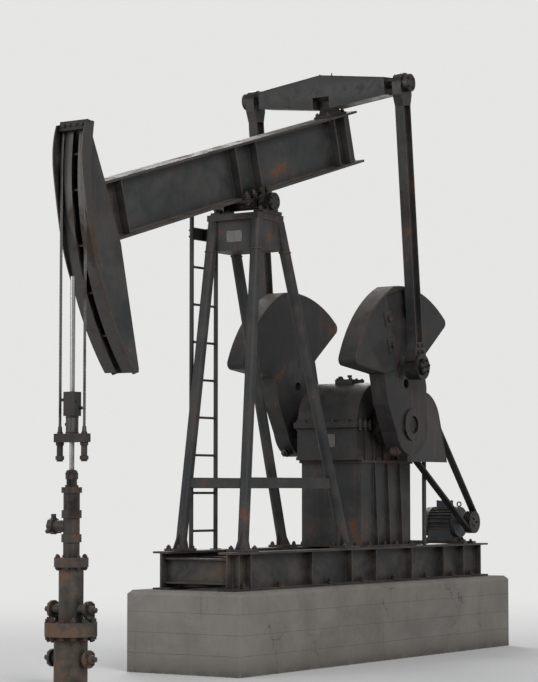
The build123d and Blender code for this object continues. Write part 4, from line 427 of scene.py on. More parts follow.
def make_concrete():
    """Cast concrete: cloudy, pitted, with lines from its boards, cracks, and rust and damp."""
    material, tree, shader, vector, wear = worn_material("cast_concrete", 0.02)
    cloud = noise(tree, vector, 1.4, 8.0, 0.7, 0.4)
    z = z_of(tree, vector)
    wobble = times(tree, noise(tree, vector, 2.5, 3.0), 0.012)
    lined = maths(tree, "PINGPONG", maths(tree, "ADD", z, wobble), 0.08)
    board = stepped(tree, lined, 0.0, 0.0045, 1.0, 0.0)
    pits = node_of(tree, "ShaderNodeTexVoronoi", {"Vector": vector, "Scale": 46.0}).outputs["Distance"]
    pitted = times(tree, stepped(tree, pits, 0.16, 0.06), stepped(tree, noise(tree, vector, 9.0), 0.5, 0.62))
    wander = node_of(tree, "ShaderNodeTexNoise", {"Vector": vector, "Scale": 4.0, "Detail": 6.0}).outputs["Color"]
    wander = vector_maths(tree, "MULTIPLY", wander, (0.35, 0.35, 0.35))[0]
    inputs = {"Vector": vector_maths(tree, "ADD", vector, wander)[0], "Scale": 1.15}
    cracks = node_of(tree, "ShaderNodeTexVoronoi", inputs, feature="DISTANCE_TO_EDGE").outputs["Distance"]
    cracked = times(tree, stepped(tree, cracks, 0.0022, 0.0006), stepped(tree, cloud, 0.5, 0.58))
    broken = larger(tree, pitted, cracked)
    damp = stepped(tree, maths(tree, "ADD", z, times(tree, cloud, 0.25)), 0.32, 0.1)
    colour = mixed(tree, stepped(tree, cloud, 0.3, 0.72), (0.20, 0.185, 0.165), (0.13, 0.12, 0.106))
    # The fourth tone is painted shade with grime: it darkens the hollows through the occlusion mask
    for mask, share, tone in (
        (board, 0.45, (0.11, 0.10, 0.088)), (wear["Runs"], 0.5, (0.14, 0.085, 0.05)),
        (damp, 0.5, (0.085, 0.072, 0.058)), (wear["Grime_and_shade"], 0.8, (0.03, 0.025, 0.02)),
        (wear["Edges"], 1.0, (0.235, 0.22, 0.195)), (broken, 1.0, (0.035, 0.03, 0.026)),
    ):
        colour = mixed(tree, times(tree, mask, share), colour, tone)
    tree.links.new(colour, shader.inputs["Base Color"])
    shader.inputs["Roughness"].default_value = 0.9
    relief = maths(tree, "ADD", times(tree, wear["Grain"], 0.25), cloud)
    relief = maths(tree, "SUBTRACT", relief, times(tree, board, 0.5))
    relief = maths(tree, "SUBTRACT", relief, times(tree, broken, 1.2))
    add_bump(tree, shader, relief, 0.004)
    return material


MATERIALS = {
    "frame_paint": worn_paint("frame_paint_old", (0.017, 0.018, 0.019), (0.040, 0.040, 0.038), 0.6),
    "beam_paint": worn_paint("beam_paint_old", (0.018, 0.019, 0.020), (0.042, 0.042, 0.040), 0.55),
    "casting": worn_paint("casting_old", (0.015, 0.015, 0.016), (0.034, 0.033, 0.031), 0.55, 0.55, 0.010, 0.0026),
    "wellhead_paint": worn_paint(
        "wellhead_old", (0.022, 0.019, 0.017), (0.044, 0.036, 0.028), 0.9, 0.4, 0.009, 0.0018),
    "guard_paint": worn_paint("guard_old", (0.020, 0.021, 0.021), (0.046, 0.045, 0.042), 0.7, 0.4),
    "motor_paint": worn_paint("motor_old", (0.020, 0.027, 0.032), (0.042, 0.050, 0.055), 0.5, 0.38),
    "bare_steel": bare_metal("bare_steel_old", (0.10, 0.095, 0.09), (0.040, 0.025, 0.017), 0.7, 0.45),
    "rod_steel": bare_metal("rod_polished", (0.40, 0.39, 0.38), (0.14, 0.10, 0.07), 0.1, 0.22, 0.00004),
    "belt_rubber": worn_paint(
        "belt_rubber_old", (0.012, 0.012, 0.012), (0.03, 0.029, 0.027), 0.2, 0.6, rust=(0.05, 0.042, 0.034)),
    "concrete": make_concrete(),
}
BOLT_STEEL = bare_metal("bolt_steel", (0.085, 0.08, 0.075), (0.050, 0.026, 0.015), 0.9, 0.5)
ROPE_STEEL = bare_metal("rope_steel", (0.13, 0.125, 0.115), (0.040, 0.028, 0.020), 0.6, 0.45)
PLATE_METAL = bare_metal("plate_metal", (0.15, 0.147, 0.14), (0.045, 0.028, 0.018), 0.3, 0.5, 0.0003)
WELD_METAL = worn_paint("weld_metal", (0.022, 0.022, 0.022), (0.034, 0.032, 0.030), 0.7, 0.5)

for row in frame["record"]["subparts"]:
    frame["nodes"][row["node"]].data.materials.clear()
    frame["nodes"][row["node"]].data.materials.append(MATERIALS[row["material_slot"]])


def piece(name, shape, slot, body="base", material=None, smooth=38.0, bevel=0.0):
    """One object from a shape's arrays: faces turned outwards, smooth where they meet at a small angle."""
    points, faces = shape
    mesh = bpy.data.meshes.new(name)
    corners = np.concatenate([group.ravel() for group in faces])
    sides = np.concatenate([np.full(len(group), group.shape[1]) for group in faces])
    mesh.vertices.add(len(points))
    mesh.vertices.foreach_set("co", points.astype(np.float32).ravel())
    mesh.loops.add(len(corners))
    mesh.loops.foreach_set("vertex_index", corners.astype(np.int32))
    mesh.polygons.add(len(sides))
    mesh.polygons.foreach_set("loop_start", (np.cumsum(sides) - sides).astype(np.int32))
    mesh.update(calc_edges=True)
    mesh.validate()
    work = bmesh.new()
    work.from_mesh(mesh)
    bmesh.ops.recalc_face_normals(work, faces=work.faces)
    work.to_mesh(mesh)
    work.free()
    mesh.polygons.foreach_set("use_smooth", np.ones(len(mesh.polygons), bool))
    mesh.set_sharp_from_angle(angle=radians(smooth))
    made = bpy.data.objects.new(name, mesh)
    bpy.context.scene.collection.objects.link(made)
    mesh.materials.append(material or MATERIALS[slot])
    if bevel > 0:
        rim = made.modifiers.new("rim", "BEVEL")
        rim.width = bevel
        rim.segments = 2
        rim.limit_method = "ANGLE"
        rim.angle_limit = radians(40)
    if body:
        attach(made, body)
    return made


# Bolts, nuts and welds
def steel_piece(name, shape, body="base", smooth=50.0):
    """One object of dark bolt steel."""
    return piece(name, shape, "bare_steel", body, BOLT_STEEL, smooth)


def weld_piece(name, shape, body="base", slot="frame_paint"):
    """One object of painted weld metal."""
    return piece(name, shape, slot, body, WELD_METAL)


def hexagon(across, low, high, edge):
    """A six-sided nut or head: the flats' hexagon, with both its rims drawn in by edge."""
    corner = across / 2 / cos(pi / 6)
    drop = 0.6 * edge
    return turned(((corner - edge, low), (corner, low + drop), (corner, high - drop), (corner - edge, high)), 6)


def bolt_shape(size, stud=True):
    """A nut on its washer, with the stud's rounded end through it, for a stud of this diameter."""
    washer = turned(((1.02 * size, -0.02 * size), (1.08 * size, 0.03 * size), (1.02 * size, 0.18 * size)), 14)
    nut = hexagon(1.62 * size, 0.18 * size, 1.0 * size, 0.09 * size)
    if not stud:
        return joined(washer, nut)
    end = turned(((0.5 * size, 0.9 * size), (0.5 * size, 1.42 * size), (0.38 * size, 1.52 * size)), 10)
    return joined(washer, nut, end)


def spun(frames):
    """Each frame turned about its own Z by a chance angle, as bolts are."""
    angle = rng.uniform(0, 2 * pi, len(frames))
    turn = np.tile(np.eye(4), (len(frames), 1, 1))
    turn[:, 0, 0] = turn[:, 1, 1] = np.cos(angle)
    turn[:, 1, 0] = np.sin(angle)
    turn[:, 0, 1] = -np.sin(angle)
    return np.array(frames) @ turn


def ring_frames(centre, out, radius, count, start=0.0):
    """Frames evenly round a circle from an angle in degrees, all facing out."""
    base = frame_at(centre, out)
    angle = radians(start) + np.arange(count) * 2 * pi / count
    return [shifted(base, radius * cos(a), radius * sin(a), 0.0) for a in angle]


def both_ends(centre, reach, radius, count, start=0.0):
    """Frames round a circle at each end of an axle across the machine, facing away from its centre."""
    ends = [ring_frames(centre + side * reach * FAR, side * FAR, radius, count, start) for side in SIDES]
    return ends[0] + ends[1]


def bolts(name, frames, size, body="base", stud=True):
    """A set of bolts as one object."""
    return steel_piece(name, copies(bolt_shape(size, stud), spun(frames)), body)


def ring_path(centre, out, radius, count=72):
    """Points of a circle square to out: centre + radius (cos a x + sin a y) in the frame there."""
    base = frame_at(centre, out)
    angle = np.linspace(0, 2 * pi, count, endpoint=False)[:, None]
    return centre + radius * (np.cos(angle) * base[:3, 0] + np.sin(angle) * base[:3, 1])


def side_view(angle):
    """The direction at an angle above AHEAD, seen from the near side: cos a AHEAD + sin a UP."""
    return np.multiply.outer(np.cos(angle), AHEAD) + np.multiply.outer(np.sin(angle), UP)


def straight(start, end, step=0.003):
    """Points along a straight line, this far apart."""
    start, end = np.asarray((start, end), float)
    count = max(2, int(np.linalg.norm(end - start) / step))
    return start + np.linspace(0, 1, count)[:, None] * (end - start)


RIPPLE = 0.009


def weld(paths, radius=0.005, closed=False, up=UP):
    """Weld beads: a tube along each path of radius (1 + 0.14 sin(2 pi run / RIPPLE))."""
    beads = []
    for path in paths:
        ripple = 1 + 0.14 * np.sin(run_along(path) * 2 * pi / RIPPLE)
        beads.append(tube(path, radius * ripple, 6, up, closed))
    return joined(*beads)


# Plinth and skid: holding-down bolts and the welds of the stiffeners
SKID_TOP = 0.940
FLANGE_TOP = 0.656
FLANGE_EDGE_Y = 0.380
WEB_FACE_Y = 0.315 + 0.0055
STIFFENER_XS = (-0.640, -0.480, 0.400, 1.010, 1.400, 2.000, 2.560, 2.926, 3.240)
STIFFENER_FACE = 0.007
ANCHOR_XS = (-0.560, -0.050, 0.700, 1.200, 1.720, 2.280, 2.740, 3.080)
ANCHOR_YS = (0.272, 0.360)
ANCHOR_PLATE = (0.068, 0.060, 0.012)

anchor_places = [(x, side * y, FLANGE_TOP) for x in ANCHOR_XS for side in SIDES for y in ANCHOR_YS]
piece("anchor_plates", copies(block(*ANCHOR_PLATE), facing(UP, anchor_places)), "frame_paint", bevel=0.0015)
bolts("anchor_bolts", facing(UP, np.add(anchor_places, ANCHOR_PLATE[2] * UP)), 0.024)

upright_seams = []
level_seams = []
for x in STIFFENER_XS:
    for side in SIDES:
        for seam_x in (x - STIFFENER_FACE, x + STIFFENER_FACE):
            y = side * (WEB_FACE_Y + 0.002)
            z = FLANGE_TOP + 0.002
            upright_seams.append(straight((seam_x, y, 0.660), (seam_x, y, 0.920)))
            level_seams.append(straight((seam_x, side * WEB_FACE_Y, z), (seam_x, side * FLANGE_EDGE_Y, z)))
weld_piece("stiffener_welds", joined(weld(upright_seams, 0.004, up=AHEAD), weld(level_seams, 0.004)))

# Post: foot bolts, and welds at the feet, under the head block, round its top and at the ties
LEG_TOP = 3.600
LEG_RADIUS = 0.046
LEGS = (((-0.156, 0.212), (-0.480, 0.302)), ((0.125, 0.233), (1.010, 0.311)))
FOOT_PLATE_TOP = 0.960
HEAD_BLOCK_UNDERSIDE = 3.355
HEAD_BLOCK_X = {-1: -0.1645, 1: 0.1405}
HEAD_BLOCK_Y = 0.245
TIE_LOW = 1.4375
TIE_HIGH = 1.5225
TIE_FACE_Y = 0.3096
TIE_INSETS = (0.0363, -0.0422)


def leg_ring(top, foot, side, height):
    """Where a leaning leg meets a level face: its circle, each point slid along its axis to that height."""
    low = np.array((foot[0], side * foot[1], SKID_TOP))
    high = np.array((top[0], side * top[1], LEG_TOP))
    ring = ring_path(low, high - low, LEG_RADIUS, 90)
    axis = unit(high - low)
    return ring + axis * ((height - ring[:, 2:]) / axis[2])


def leg_at(top, foot, height):
    """The X and |Y| of a leg's axis at a height."""
    share = (height - SKID_TOP) / (LEG_TOP - SKID_TOP)
    return foot[0] + share * (top[0] - foot[0]), foot[1] + share * (top[1] - foot[1])


leg_faces = (FOOT_PLATE_TOP + 0.002, HEAD_BLOCK_UNDERSIDE - 0.002)
leg_rings = [leg_ring(top, foot, side, z) for top, foot in LEGS for side in SIDES for z in leg_faces]
weld_piece("leg_welds", weld(leg_rings, 0.006, closed=True))
foot_bolts = [
    (foot[0] + a * 0.090, side * (foot[1] + b * 0.050), FOOT_PLATE_TOP)
    for top, foot in LEGS for side in SIDES for a in SIDES for b in SIDES
]
bolts("foot_bolts", facing(UP, foot_bolts), 0.020)
block_top = [(HEAD_BLOCK_X[a], b * HEAD_BLOCK_Y, LEG_TOP - 0.002) for a, b in CORNERS]
weld_piece("head_block_welds", weld([straight(block_top[i], block_top[(i + 1) % 4]) for i in range(4)]))

tie_seams = []
for (top, foot), inward in zip(LEGS, TIE_INSETS):
    low_x, low_y = leg_at(top, foot, TIE_LOW)
    high_x, high_y = leg_at(top, foot, TIE_HIGH)
    middle = (low_x + high_x) / 2
    for side in SIDES:
        y = side * TIE_FACE_Y
        tie_seams.append(straight((low_x + inward, y, TIE_LOW), (high_x + inward, y, TIE_HIGH)))
        for x in (middle - 0.018, middle + 0.018):
            tie_seams.append(straight((x, side * (low_y - 0.041), 1.445), (x, side * (high_y - 0.041), 1.515)))
weld_piece("tie_welds", weld(tie_seams, 0.0045, up=AHEAD))

# Blank plates with four raised lines and rivets, on the gearbox and the post head: place, facing, width, height
GEARBOX_FRONT_X = 1.215
GEARBOX_BACK_X = 2.255
PLATES = (
    ((GEARBOX_FRONT_X, 0.0, 1.845), -AHEAD, 0.170, 0.110),
    ((GEARBOX_BACK_X, -0.12, 1.860), AHEAD, 0.150, 0.095),
    ((HEAD_BLOCK_X[-1], 0.0, 3.470), -AHEAD, 0.150, 0.090),
)
PLATE_THICKNESS = 0.003

plate_shapes = []
plate_rivets = []
for place, out, wide, high in PLATES:
    base = frame_at(place, out, FAR)
    plate_shapes.append(copies(block(wide, high, PLATE_THICKNESS), [base]))
    for a, b in CORNERS:
        plate_rivets.append(shifted(base, a * (wide / 2 - 0.010), b * (high / 2 - 0.010), PLATE_THICKNESS))
    for k in range(4):
        line = shifted(base, 0.0, high / 2 - 0.026 - k * (high - 0.052) / 3, PLATE_THICKNESS)
        plate_shapes.append(copies(block(wide - 0.040, 0.003, 0.0012), [line]))
piece("blank_plates", joined(*plate_shapes), "bare_steel", material=PLATE_METAL)
plate_rivet = turned(((0.0045, -0.001), (0.004, 0.0014), (0.0018, 0.0026)), 10)
steel_piece("plate_rivets", copies(plate_rivet, plate_rivets), smooth=60)

# Saddle bearings: foot bolts, cap screws and grease nipples
NIPPLE = turned(
    ((0.008, -0.004), (0.008, 0.007), (0.0045, 0.010), (0.0045, 0.018), (0.006, 0.022), (0.0035, 0.027)), 10
)
BEARING_Y = 0.215

bearing_feet = [(x, side * BEARING_Y, 3.676) for x in (-0.107, 0.107) for side in SIDES]
bolts("bearing_bolts", facing(UP, bearing_feet), 0.024)
bolts("bearing_cap_screws", both_ends(PIVOT, 0.284, 0.052, 6, 30), 0.009, stud=False)
steel_piece("bearing_nipples", copies(NIPPLE, facing(UP, [(0, side * BEARING_Y, 3.822) for side in SIDES])))


# Saddle: clamps over the beam's lower flange, with their bolts
CLAMP_US = (-0.158, -0.056, 0.056, 0.158)


def clamp_frames(v, y, out=SQUARE_TO_BEAM, along=None):
    """A frame at each of the saddle's clamps, v square to the beam and y to the side."""
    return facing(out, [beam_point(u, v, side * y) for u in CLAMP_US for side in SIDES], along)


piece("saddle_clamps", joined(
    copies(block(0.052, 0.056, 0.016), clamp_frames(WEB_LOW, 0.118, along=ALONG_BEAM)),
    copies(block(0.052, 0.040, 0.020), clamp_frames(BEAM_UNDERSIDE, 0.126, along=ALONG_BEAM)),
), "casting", "beam", bevel=0.002)
bolts("saddle_clamp_bolts", clamp_frames(WEB_LOW + 0.016, 0.125), 0.022, "beam")
clamp_heads = clamp_frames(BEAM_UNDERSIDE - 0.020, 0.125, -SQUARE_TO_BEAM)
bolts("saddle_clamp_heads", clamp_heads, 0.022, "beam", stud=False)

# Walking beam and head: welds of the stiffeners and of the head's edges, and the screws of the wire anchor
WEB_STIFFENER_US = (-1.700, -0.150, 0.150, 1.400, 1.570)
WEB_SEAM_Y = 0.009
HEAD_CORNERS = ((-1.981, 0.895), (-1.925, 0.533), (-1.860, 0.027), (-1.9042, -0.930))
TRACK_SEAM_RADIUS = 2.187
TRACK_SEAM_Y = 0.1045
TRACK_ANGLES = np.arange(-24.0, 24.0, 0.09)
ANCHOR_ANGLE = 25.0
ANCHOR_FACE_RADIUS = 2.2545

beam_ends = [
    ((u + face, WEB_LOW + 0.006), (u + face, WEB_HIGH - 0.006))
    for u in WEB_STIFFENER_US for face in (-0.008, 0.008)
]
beam_ends.append(((-1.861, WEB_LOW + 0.002), (-1.914, WEB_HIGH - 0.002)))
beam_seams = [
    straight(beam_point(*low, side * WEB_SEAM_Y), beam_point(*high, side * WEB_SEAM_Y))
    for low, high in beam_ends for side in SIDES
]
across_seams = [
    straight(beam_point(u, v, -BEAM_HALF_WIDTH), beam_point(u, v, BEAM_HALF_WIDTH)) for u, v in (
        (-1.920, BEAM_TOP + 0.002), (-1.915, WEB_HIGH - 0.002),
        (-1.862, BEAM_UNDERSIDE - 0.002), (-1.864, WEB_LOW + 0.002))
]
head_seams = []
for side in SIDES:
    for low, high in zip(HEAD_CORNERS[:-1], HEAD_CORNERS[1:]):
        y = side * BEAM_HALF_WIDTH
        head_seams.append(straight(beam_point(*low, y), beam_point(*high, y)))
    head_seams.append(np.array([head_point(TRACK_SEAM_RADIUS, a, side * TRACK_SEAM_Y) for a in TRACK_ANGLES]))
weld_piece("beam_welds", joined(weld(beam_seams, up=FAR), weld(across_seams)), "beam", "beam_paint")
weld_piece("head_welds", weld(head_seams, up=FAR), "beam", "beam_paint")
anchor_screws = [head_point(ANCHOR_FACE_RADIUS, ANCHOR_ANGLE, y) for y in (-0.085, -0.030, 0.030, 0.085)]
bolts("wire_anchor_bolts", facing(head_point(1.0, ANCHOR_ANGLE) - PIVOT, anchor_screws), 0.014, "beam")

# Tail stand: bolts through the beam's upper flange, and the screws of the bearing's cover
TAIL_U = float(np.dot(TAIL - PIVOT, ALONG_BEAM))


def stand_places(v):
    """The places of the tail stand's bolts, v square to the beam."""
    return [beam_point(TAIL_U + a * 0.122, v, side * 0.052) for a in SIDES for side in SIDES]


bolts("tail_stand_bolts", facing(SQUARE_TO_BEAM, stand_places(BEAM_TOP + 0.018)), 0.020, "beam")
bolts("tail_stand_heads", facing(-SQUARE_TO_BEAM, stand_places(WEB_HIGH)), 0.020, "beam", stud=False)
bolts("tail_hub_screws", both_ends(TAIL, 0.0752, 0.058, 6), 0.006, "beam", stud=False)

# Equalizer and pitmans: seams, pin cap bolts, foot bolts and grease nipples
EQUALIZER_HALF_WIDTH = 0.103
EQUALIZER_END_Y = 0.640
EQUALIZER_END_V = 0.058
EQUALIZER_TOP_V = 0.140

top_edges = []
end_edges = []
for u in (-EQUALIZER_HALF_WIDTH, EQUALIZER_HALF_WIDTH):
    near_end, far_end = (pitman_point(u, EQUALIZER_END_V, side * EQUALIZER_END_Y) for side in SIDES)
    middle = pitman_point(u, EQUALIZER_TOP_V)
    top_edges.append(np.concatenate([straight(near_end, middle), straight(middle, far_end)[1:]]))
for side in SIDES:
    ends = [pitman_point(a * EQUALIZER_HALF_WIDTH, EQUALIZER_END_V, side * EQUALIZER_END_Y) for a in SIDES]
    end_edges.append(straight(*ends))
equalizer_seams = joined(weld(top_edges), weld(end_edges, up=PITMAN_UP))
weld_piece("equalizer_welds", equalizer_seams, "equalizer_body", "beam_paint")
bolts("pitman_pin_screws", both_ends(TAIL, 0.8425, 0.050, 4, 45), 0.012, "equalizer_body", stud=False)
foot_screws = [
    frame_at(pitman_point(u, v - PITMAN_LENGTH, side * 0.7925), side * FAR)
    for u in (-0.030, 0.030) for v in (0.128, 0.182) for side in SIDES
]
bolts("pitman_foot_bolts", foot_screws, 0.016, "equalizer_body")
bolts("wrist_cap_screws", both_ends(WRIST, 0.839, 0.052, 6, 15), 0.011, "equalizer_body", stud=False)
wrist_ends = [frame_at(WRIST + side * 0.838 * FAR, side * FAR) for side in SIDES]
steel_piece("wrist_nipples", copies(NIPPLE, wrist_ends), "equalizer_body")
tail_tops = facing(PITMAN_UP, [pitman_point(0, EQUALIZER_TOP_V - 0.003, side * 0.06) for side in SIDES])
steel_piece("tail_nipples", copies(NIPPLE, tail_tops), "equalizer_body")


# Cranks: the clamp bolts of their hubs, and the plates and bolts that hold the weights
CLAMP_V = -0.172
CRANK_Y = 0.550
WEIGHT_BOLT_U = 0.192
WEIGHT_BOLT_VS = (0.735, 0.960)
WEIGHT_FACE_Y = 0.6495


def hub_frames(u):
    """A frame on each side of each crank's hub, this far from the shaft and facing away from it."""
    return [frame_at(crank_point(a * u, CLAMP_V, side * CRANK_Y), a * CRANK_SIDE) for a in SIDES for side in SIDES]


def weight_frames(y, along=None):
    """A frame at each of the weights' four fixings on each crank, this far to the side."""
    return [
        frame_at(crank_point(a * WEIGHT_BOLT_U, v, side * y), side * FAR, along)
        for a in SIDES for v in WEIGHT_BOLT_VS for side in SIDES
    ]


clamp_pad = turned(((0.044, 0.0), (0.044, 0.062), (0.038, 0.067)), 24)
piece("crank_clamp_pads", copies(clamp_pad, hub_frames(0.160)), "casting", "crank_body")
bolts("crank_clamp_bolts", hub_frames(0.227), 0.036, "crank_body")
weight_plates = copies(block(0.120, 0.110, 0.010), weight_frames(WEIGHT_FACE_Y, CRANK_OUT))
piece("weight_plates", weight_plates, "casting", "crank_body", bevel=0.002)
bolts("weight_bolts", weight_frames(WEIGHT_FACE_Y + 0.010), 0.026, "crank_body", stud=False)

# Gearbox: bosses and bolts along the joint, bearing and cover bolts, hatch bolts, plugs and oil gauge
JOINT_XS = (1.245, 1.325, 1.405, 2.165, 2.235)
BOSS_Y = 0.312
BOSS_UNDERSIDE = 1.950
BOSS_HEIGHT = 0.056
JOINT_BOLT_Y = BOSS_Y * 1.012
JOINT_END_XS = (1.199, 2.271)
JOINT_END_YS = (-0.22, -0.073, 0.073, 0.22)
JOINT_END_TOP = 2.004

boss = turned(((0.020, 0.0), (0.023, 0.004), (0.023, 0.052), (0.020, BOSS_HEIGHT)), 20)
boss_places = [(x, side * BOSS_Y, BOSS_UNDERSIDE) for x in JOINT_XS for side in SIDES]
piece("joint_bosses", copies(boss, facing(UP, boss_places)), "casting")
joint_undersides = [(x, side * JOINT_BOLT_Y, BOSS_UNDERSIDE) for x in JOINT_XS for side in SIDES]
joint_tops = list(np.add(joint_undersides, BOSS_HEIGHT * UP))
joint_tops += [(x, y, JOINT_END_TOP) for x in JOINT_END_XS for y in JOINT_END_YS]
bolts("joint_bolts", facing(UP, joint_tops), 0.016)
bolts("joint_heads", facing(-UP, joint_undersides), 0.016, stud=False)
bolts("shaft_cap_bolts", both_ends(SHAFT, 0.400, 0.118, 8, 22.5), 0.016, stud=False)
cover_frames = both_ends(SECOND_SHAFT, 0.337, 0.072, 6, 30)
cover_frames += ring_frames(INPUT_SHAFT + 0.337 * FAR, FAR, 0.064, 6)
bolts("shaft_cover_bolts", cover_frames, 0.011, stud=False)
hatch_places = [(SHAFT[0] + x, y, 2.382) for y in (-0.07, 0.07) for x in (-0.09, 0, 0.09)]
bolts("hatch_bolts", facing(UP, hatch_places), 0.011, stud=False)
gauge = turned(((0.026, 0.0), (0.026, 0.012), (0.020, 0.016), (0.018, 0.012)), 24)
steel_piece("oil_plugs", joined(
    placed(hexagon(0.040, 0.0, 0.022, 0.003), (GEARBOX_BACK_X - 0.0005, -0.12, 1.730), AHEAD),
    placed(gauge, (GEARBOX_BACK_X - 0.0005, 0.12, 1.840), AHEAD),
    placed(hexagon(0.034, 0.0, 0.018, 0.003), (GEARBOX_FRONT_X + 0.0005, 0.0, 1.730), -AHEAD),
))

# Pedestal: bolts of its feet, and welds of its ribs and cap
PEDESTAL_FOOT_XS = (1.36, 1.60, 1.80, 2.04)
PEDESTAL_RIB_XS = (1.49125, 1.6975, 1.90375)
PEDESTAL_CAP_XS = (1.285, 2.110)
PEDESTAL_CAP_Z = 1.655

pedestal_feet = [(x, side * 0.338, 0.956) for x in PEDESTAL_FOOT_XS for side in SIDES]
bolts("pedestal_bolts", facing(UP, pedestal_feet), 0.022)
rib_seams = [
    straight((x + face, side * 0.3015, 0.962), (x + face, side * 0.3015, 1.650))
    for x in PEDESTAL_RIB_XS for face in (-0.007, 0.007) for side in SIDES
]
cap_seams = [straight(*[(x, side * 0.300, PEDESTAL_CAP_Z) for x in PEDESTAL_CAP_XS]) for side in SIDES]
weld_piece("pedestal_welds", joined(weld(rib_seams, 0.004, up=AHEAD), weld(cap_seams, 0.004)))

# Motor: fan grille, lifting eye, feet, terminal box lid and screws, and cable gland
MOTOR_X = MOTOR_AXIS[0]
MOTOR_RADIUS = 0.138
MOTOR_RAIL_TOP = 0.962
MOTOR_FOOT_X = 0.083
TERMINAL_BOX_Y = -0.135
TERMINAL_BOX_TOP = MOTOR_AXIS[2] + MOTOR_RADIUS + 0.052
GRILLE_RADII = (0.03, 0.055, 0.08, 0.105)
SPOKE_LENGTH = 0.128

grille_centre = MOTOR_AXIS + 0.031 * FAR
grille = [tube(ring_path(grille_centre, FAR, radius), 0.0025, 6, FAR, True) for radius in GRILLE_RADII]
spoke_ends = grille_centre + SPOKE_LENGTH * side_view(np.arange(6) * pi / 3)
spokes = [tube([grille_centre, end], 0.003, 6, FAR) for end in spoke_ends]
steel_piece("fan_grille", joined(*grille, *spokes), smooth=38)
eye_centre = MOTOR_AXIS + np.array((0.0, -0.284, MOTOR_RADIUS + 0.024))
eye_shank = turned(((0.014, -0.03), (0.014, 0.004), (0.010, 0.010)), 16)
steel_piece("motor_eye", joined(
    tube(ring_path(eye_centre, AHEAD, 0.020), 0.006, 10, AHEAD, True),
    placed(eye_shank, eye_centre - 0.030 * UP, UP),
), smooth=38)
lug_places = [(MOTOR_X + a * MOTOR_FOOT_X, y, MOTOR_RAIL_TOP) for a in SIDES for y in (-0.270, 0.0)]
piece("motor_feet", copies(block(0.050, 0.044, 0.014), facing(UP, lug_places)), "motor_paint", bevel=0.002)
motor_bolts = list(np.add(lug_places, 0.014 * UP))
motor_bolts += [(MOTOR_X + a * MOTOR_FOOT_X, side * 0.355, MOTOR_RAIL_TOP) for a in SIDES for side in SIDES]
bolts("motor_bolts", facing(UP, motor_bolts), 0.014)
lid = placed(block(0.102, 0.126, 0.005), (MOTOR_X, TERMINAL_BOX_Y, TERMINAL_BOX_TOP), UP)
piece("terminal_lid", lid, "motor_paint", bevel=0.0015)
lid_screws = [
    (MOTOR_X + a * 0.040, TERMINAL_BOX_Y + b * 0.050, TERMINAL_BOX_TOP + 0.004) for a in SIDES for b in SIDES
]
bolts("terminal_screws", facing(UP, lid_screws), 0.006, stud=False)
gland = joined(hexagon(0.036, 0.0, 0.014, 0.002), turned(((0.015, 0.012), (0.015, 0.026), (0.011, 0.032)), 18))
steel_piece("cable_gland", placed(gland, (3.065, TERMINAL_BOX_Y, 1.300), AHEAD))

# Sheaves: bushing screws. Guard: rolled edge and rivets
SHEAVE_FACE_Y = -0.4475
GUARD_EDGE_Y = -0.4625
GUARD_FACE_Y = -0.4635
GUARD_LOW_Z = 1.672
GUARD_RADIUS = 0.303

bushing_screws = ring_frames(INPUT_SHAFT + SHEAVE_FACE_Y * FAR, -FAR, 0.046, 3)
bushing_screws += ring_frames(MOTOR_AXIS + SHEAVE_FACE_Y * FAR, -FAR, 0.034, 3)
bolts("sheave_screws", bushing_screws, 0.010, stud=False)
guard_arc = GUARD_RADIUS * side_view(np.radians(np.arange(180.0, 21.9, -2.0)))
guard_arc += INPUT_SHAFT + GUARD_EDGE_Y * FAR
guard_path = np.concatenate([
    straight((1.790, GUARD_EDGE_Y, GUARD_LOW_Z), guard_arc[0], 0.02)[:-1], guard_arc,
    straight(guard_arc[-1], (2.473, GUARD_EDGE_Y, GUARD_LOW_Z), 0.02)[1:],
])
piece("guard_edge", tube(guard_path, 0.005, 8, FAR), "guard_paint")
rivet_places = list(INPUT_SHAFT + (GUARD_RADIUS - 0.018) * side_view(np.radians((175, 140, 105, 70, 35))))
rivet_places += [(x, 0.0, 1.690) for x in (1.83, 1.98, 2.13, 2.28, 2.43)]
guard_rivet = turned(((0.008, -0.001), (0.0075, 0.002), (0.004, 0.0042)), 14)
guard_rivets = facing(-FAR, np.add(rivet_places, GUARD_FACE_Y * FAR))
steel_piece("guard_rivets", copies(guard_rivet, guard_rivets), smooth=60)

# Ladder: welded rungs, capped rails, and the bolts of its brackets and feet
LADDER_Y = 0.350
RAIL_XS = (-0.270, 0.069)
RUNG_END_XS = (-0.251, 0.050)
RUNG_LOW_Z = 1.094
RUNG_PITCH = 0.3056

rung_rings = [
    ring_path((x, LADDER_Y, RUNG_LOW_Z + k * RUNG_PITCH), AHEAD, 0.0115) for k in range(8) for x in RUNG_END_XS
]
weld_piece("rung_welds", weld(rung_rings, 0.0032, True, AHEAD))
rail_cap = turned(((0.018, 0.0), (0.0165, 0.005), (0.011, 0.009), (0.004, 0.0105)), 20)
piece("rail_caps", copies(rail_cap, facing(UP, [(x, LADDER_Y, 3.6395) for x in RAIL_XS])), "frame_paint")
bracket_bolts = [(x, LADDER_Y + 0.0175, z) for x in RAIL_XS for z in (3.480, 3.532)]
bolts("bracket_bolts", facing(FAR, bracket_bolts), 0.009, stud=False)
ladder_feet = [(x + a * 0.025, LADDER_Y + a * 0.025, 0.948) for x in RAIL_XS for a in (1, -1)]
bolts("ladder_bolts", facing(UP, ladder_feet), 0.008)


# Wellhead: flange studs, blind plugs on the side outlets, the lugs and cap of the union, and the gland
def flange_studs(top, underside, radius, count, start):
    """Frames of the nuts on a pair of flanges: above the upper one and below the lower one."""
    upper = ring_frames(WELL + top * UP, UP, radius, count, start)
    return upper + ring_frames(WELL + underside * UP, -UP, radius, count, start)


def gland_places(height):
    """The places of the gland's two bolts at a height."""
    return [WELL + height * UP + a * 0.050 * AHEAD for a in SIDES]


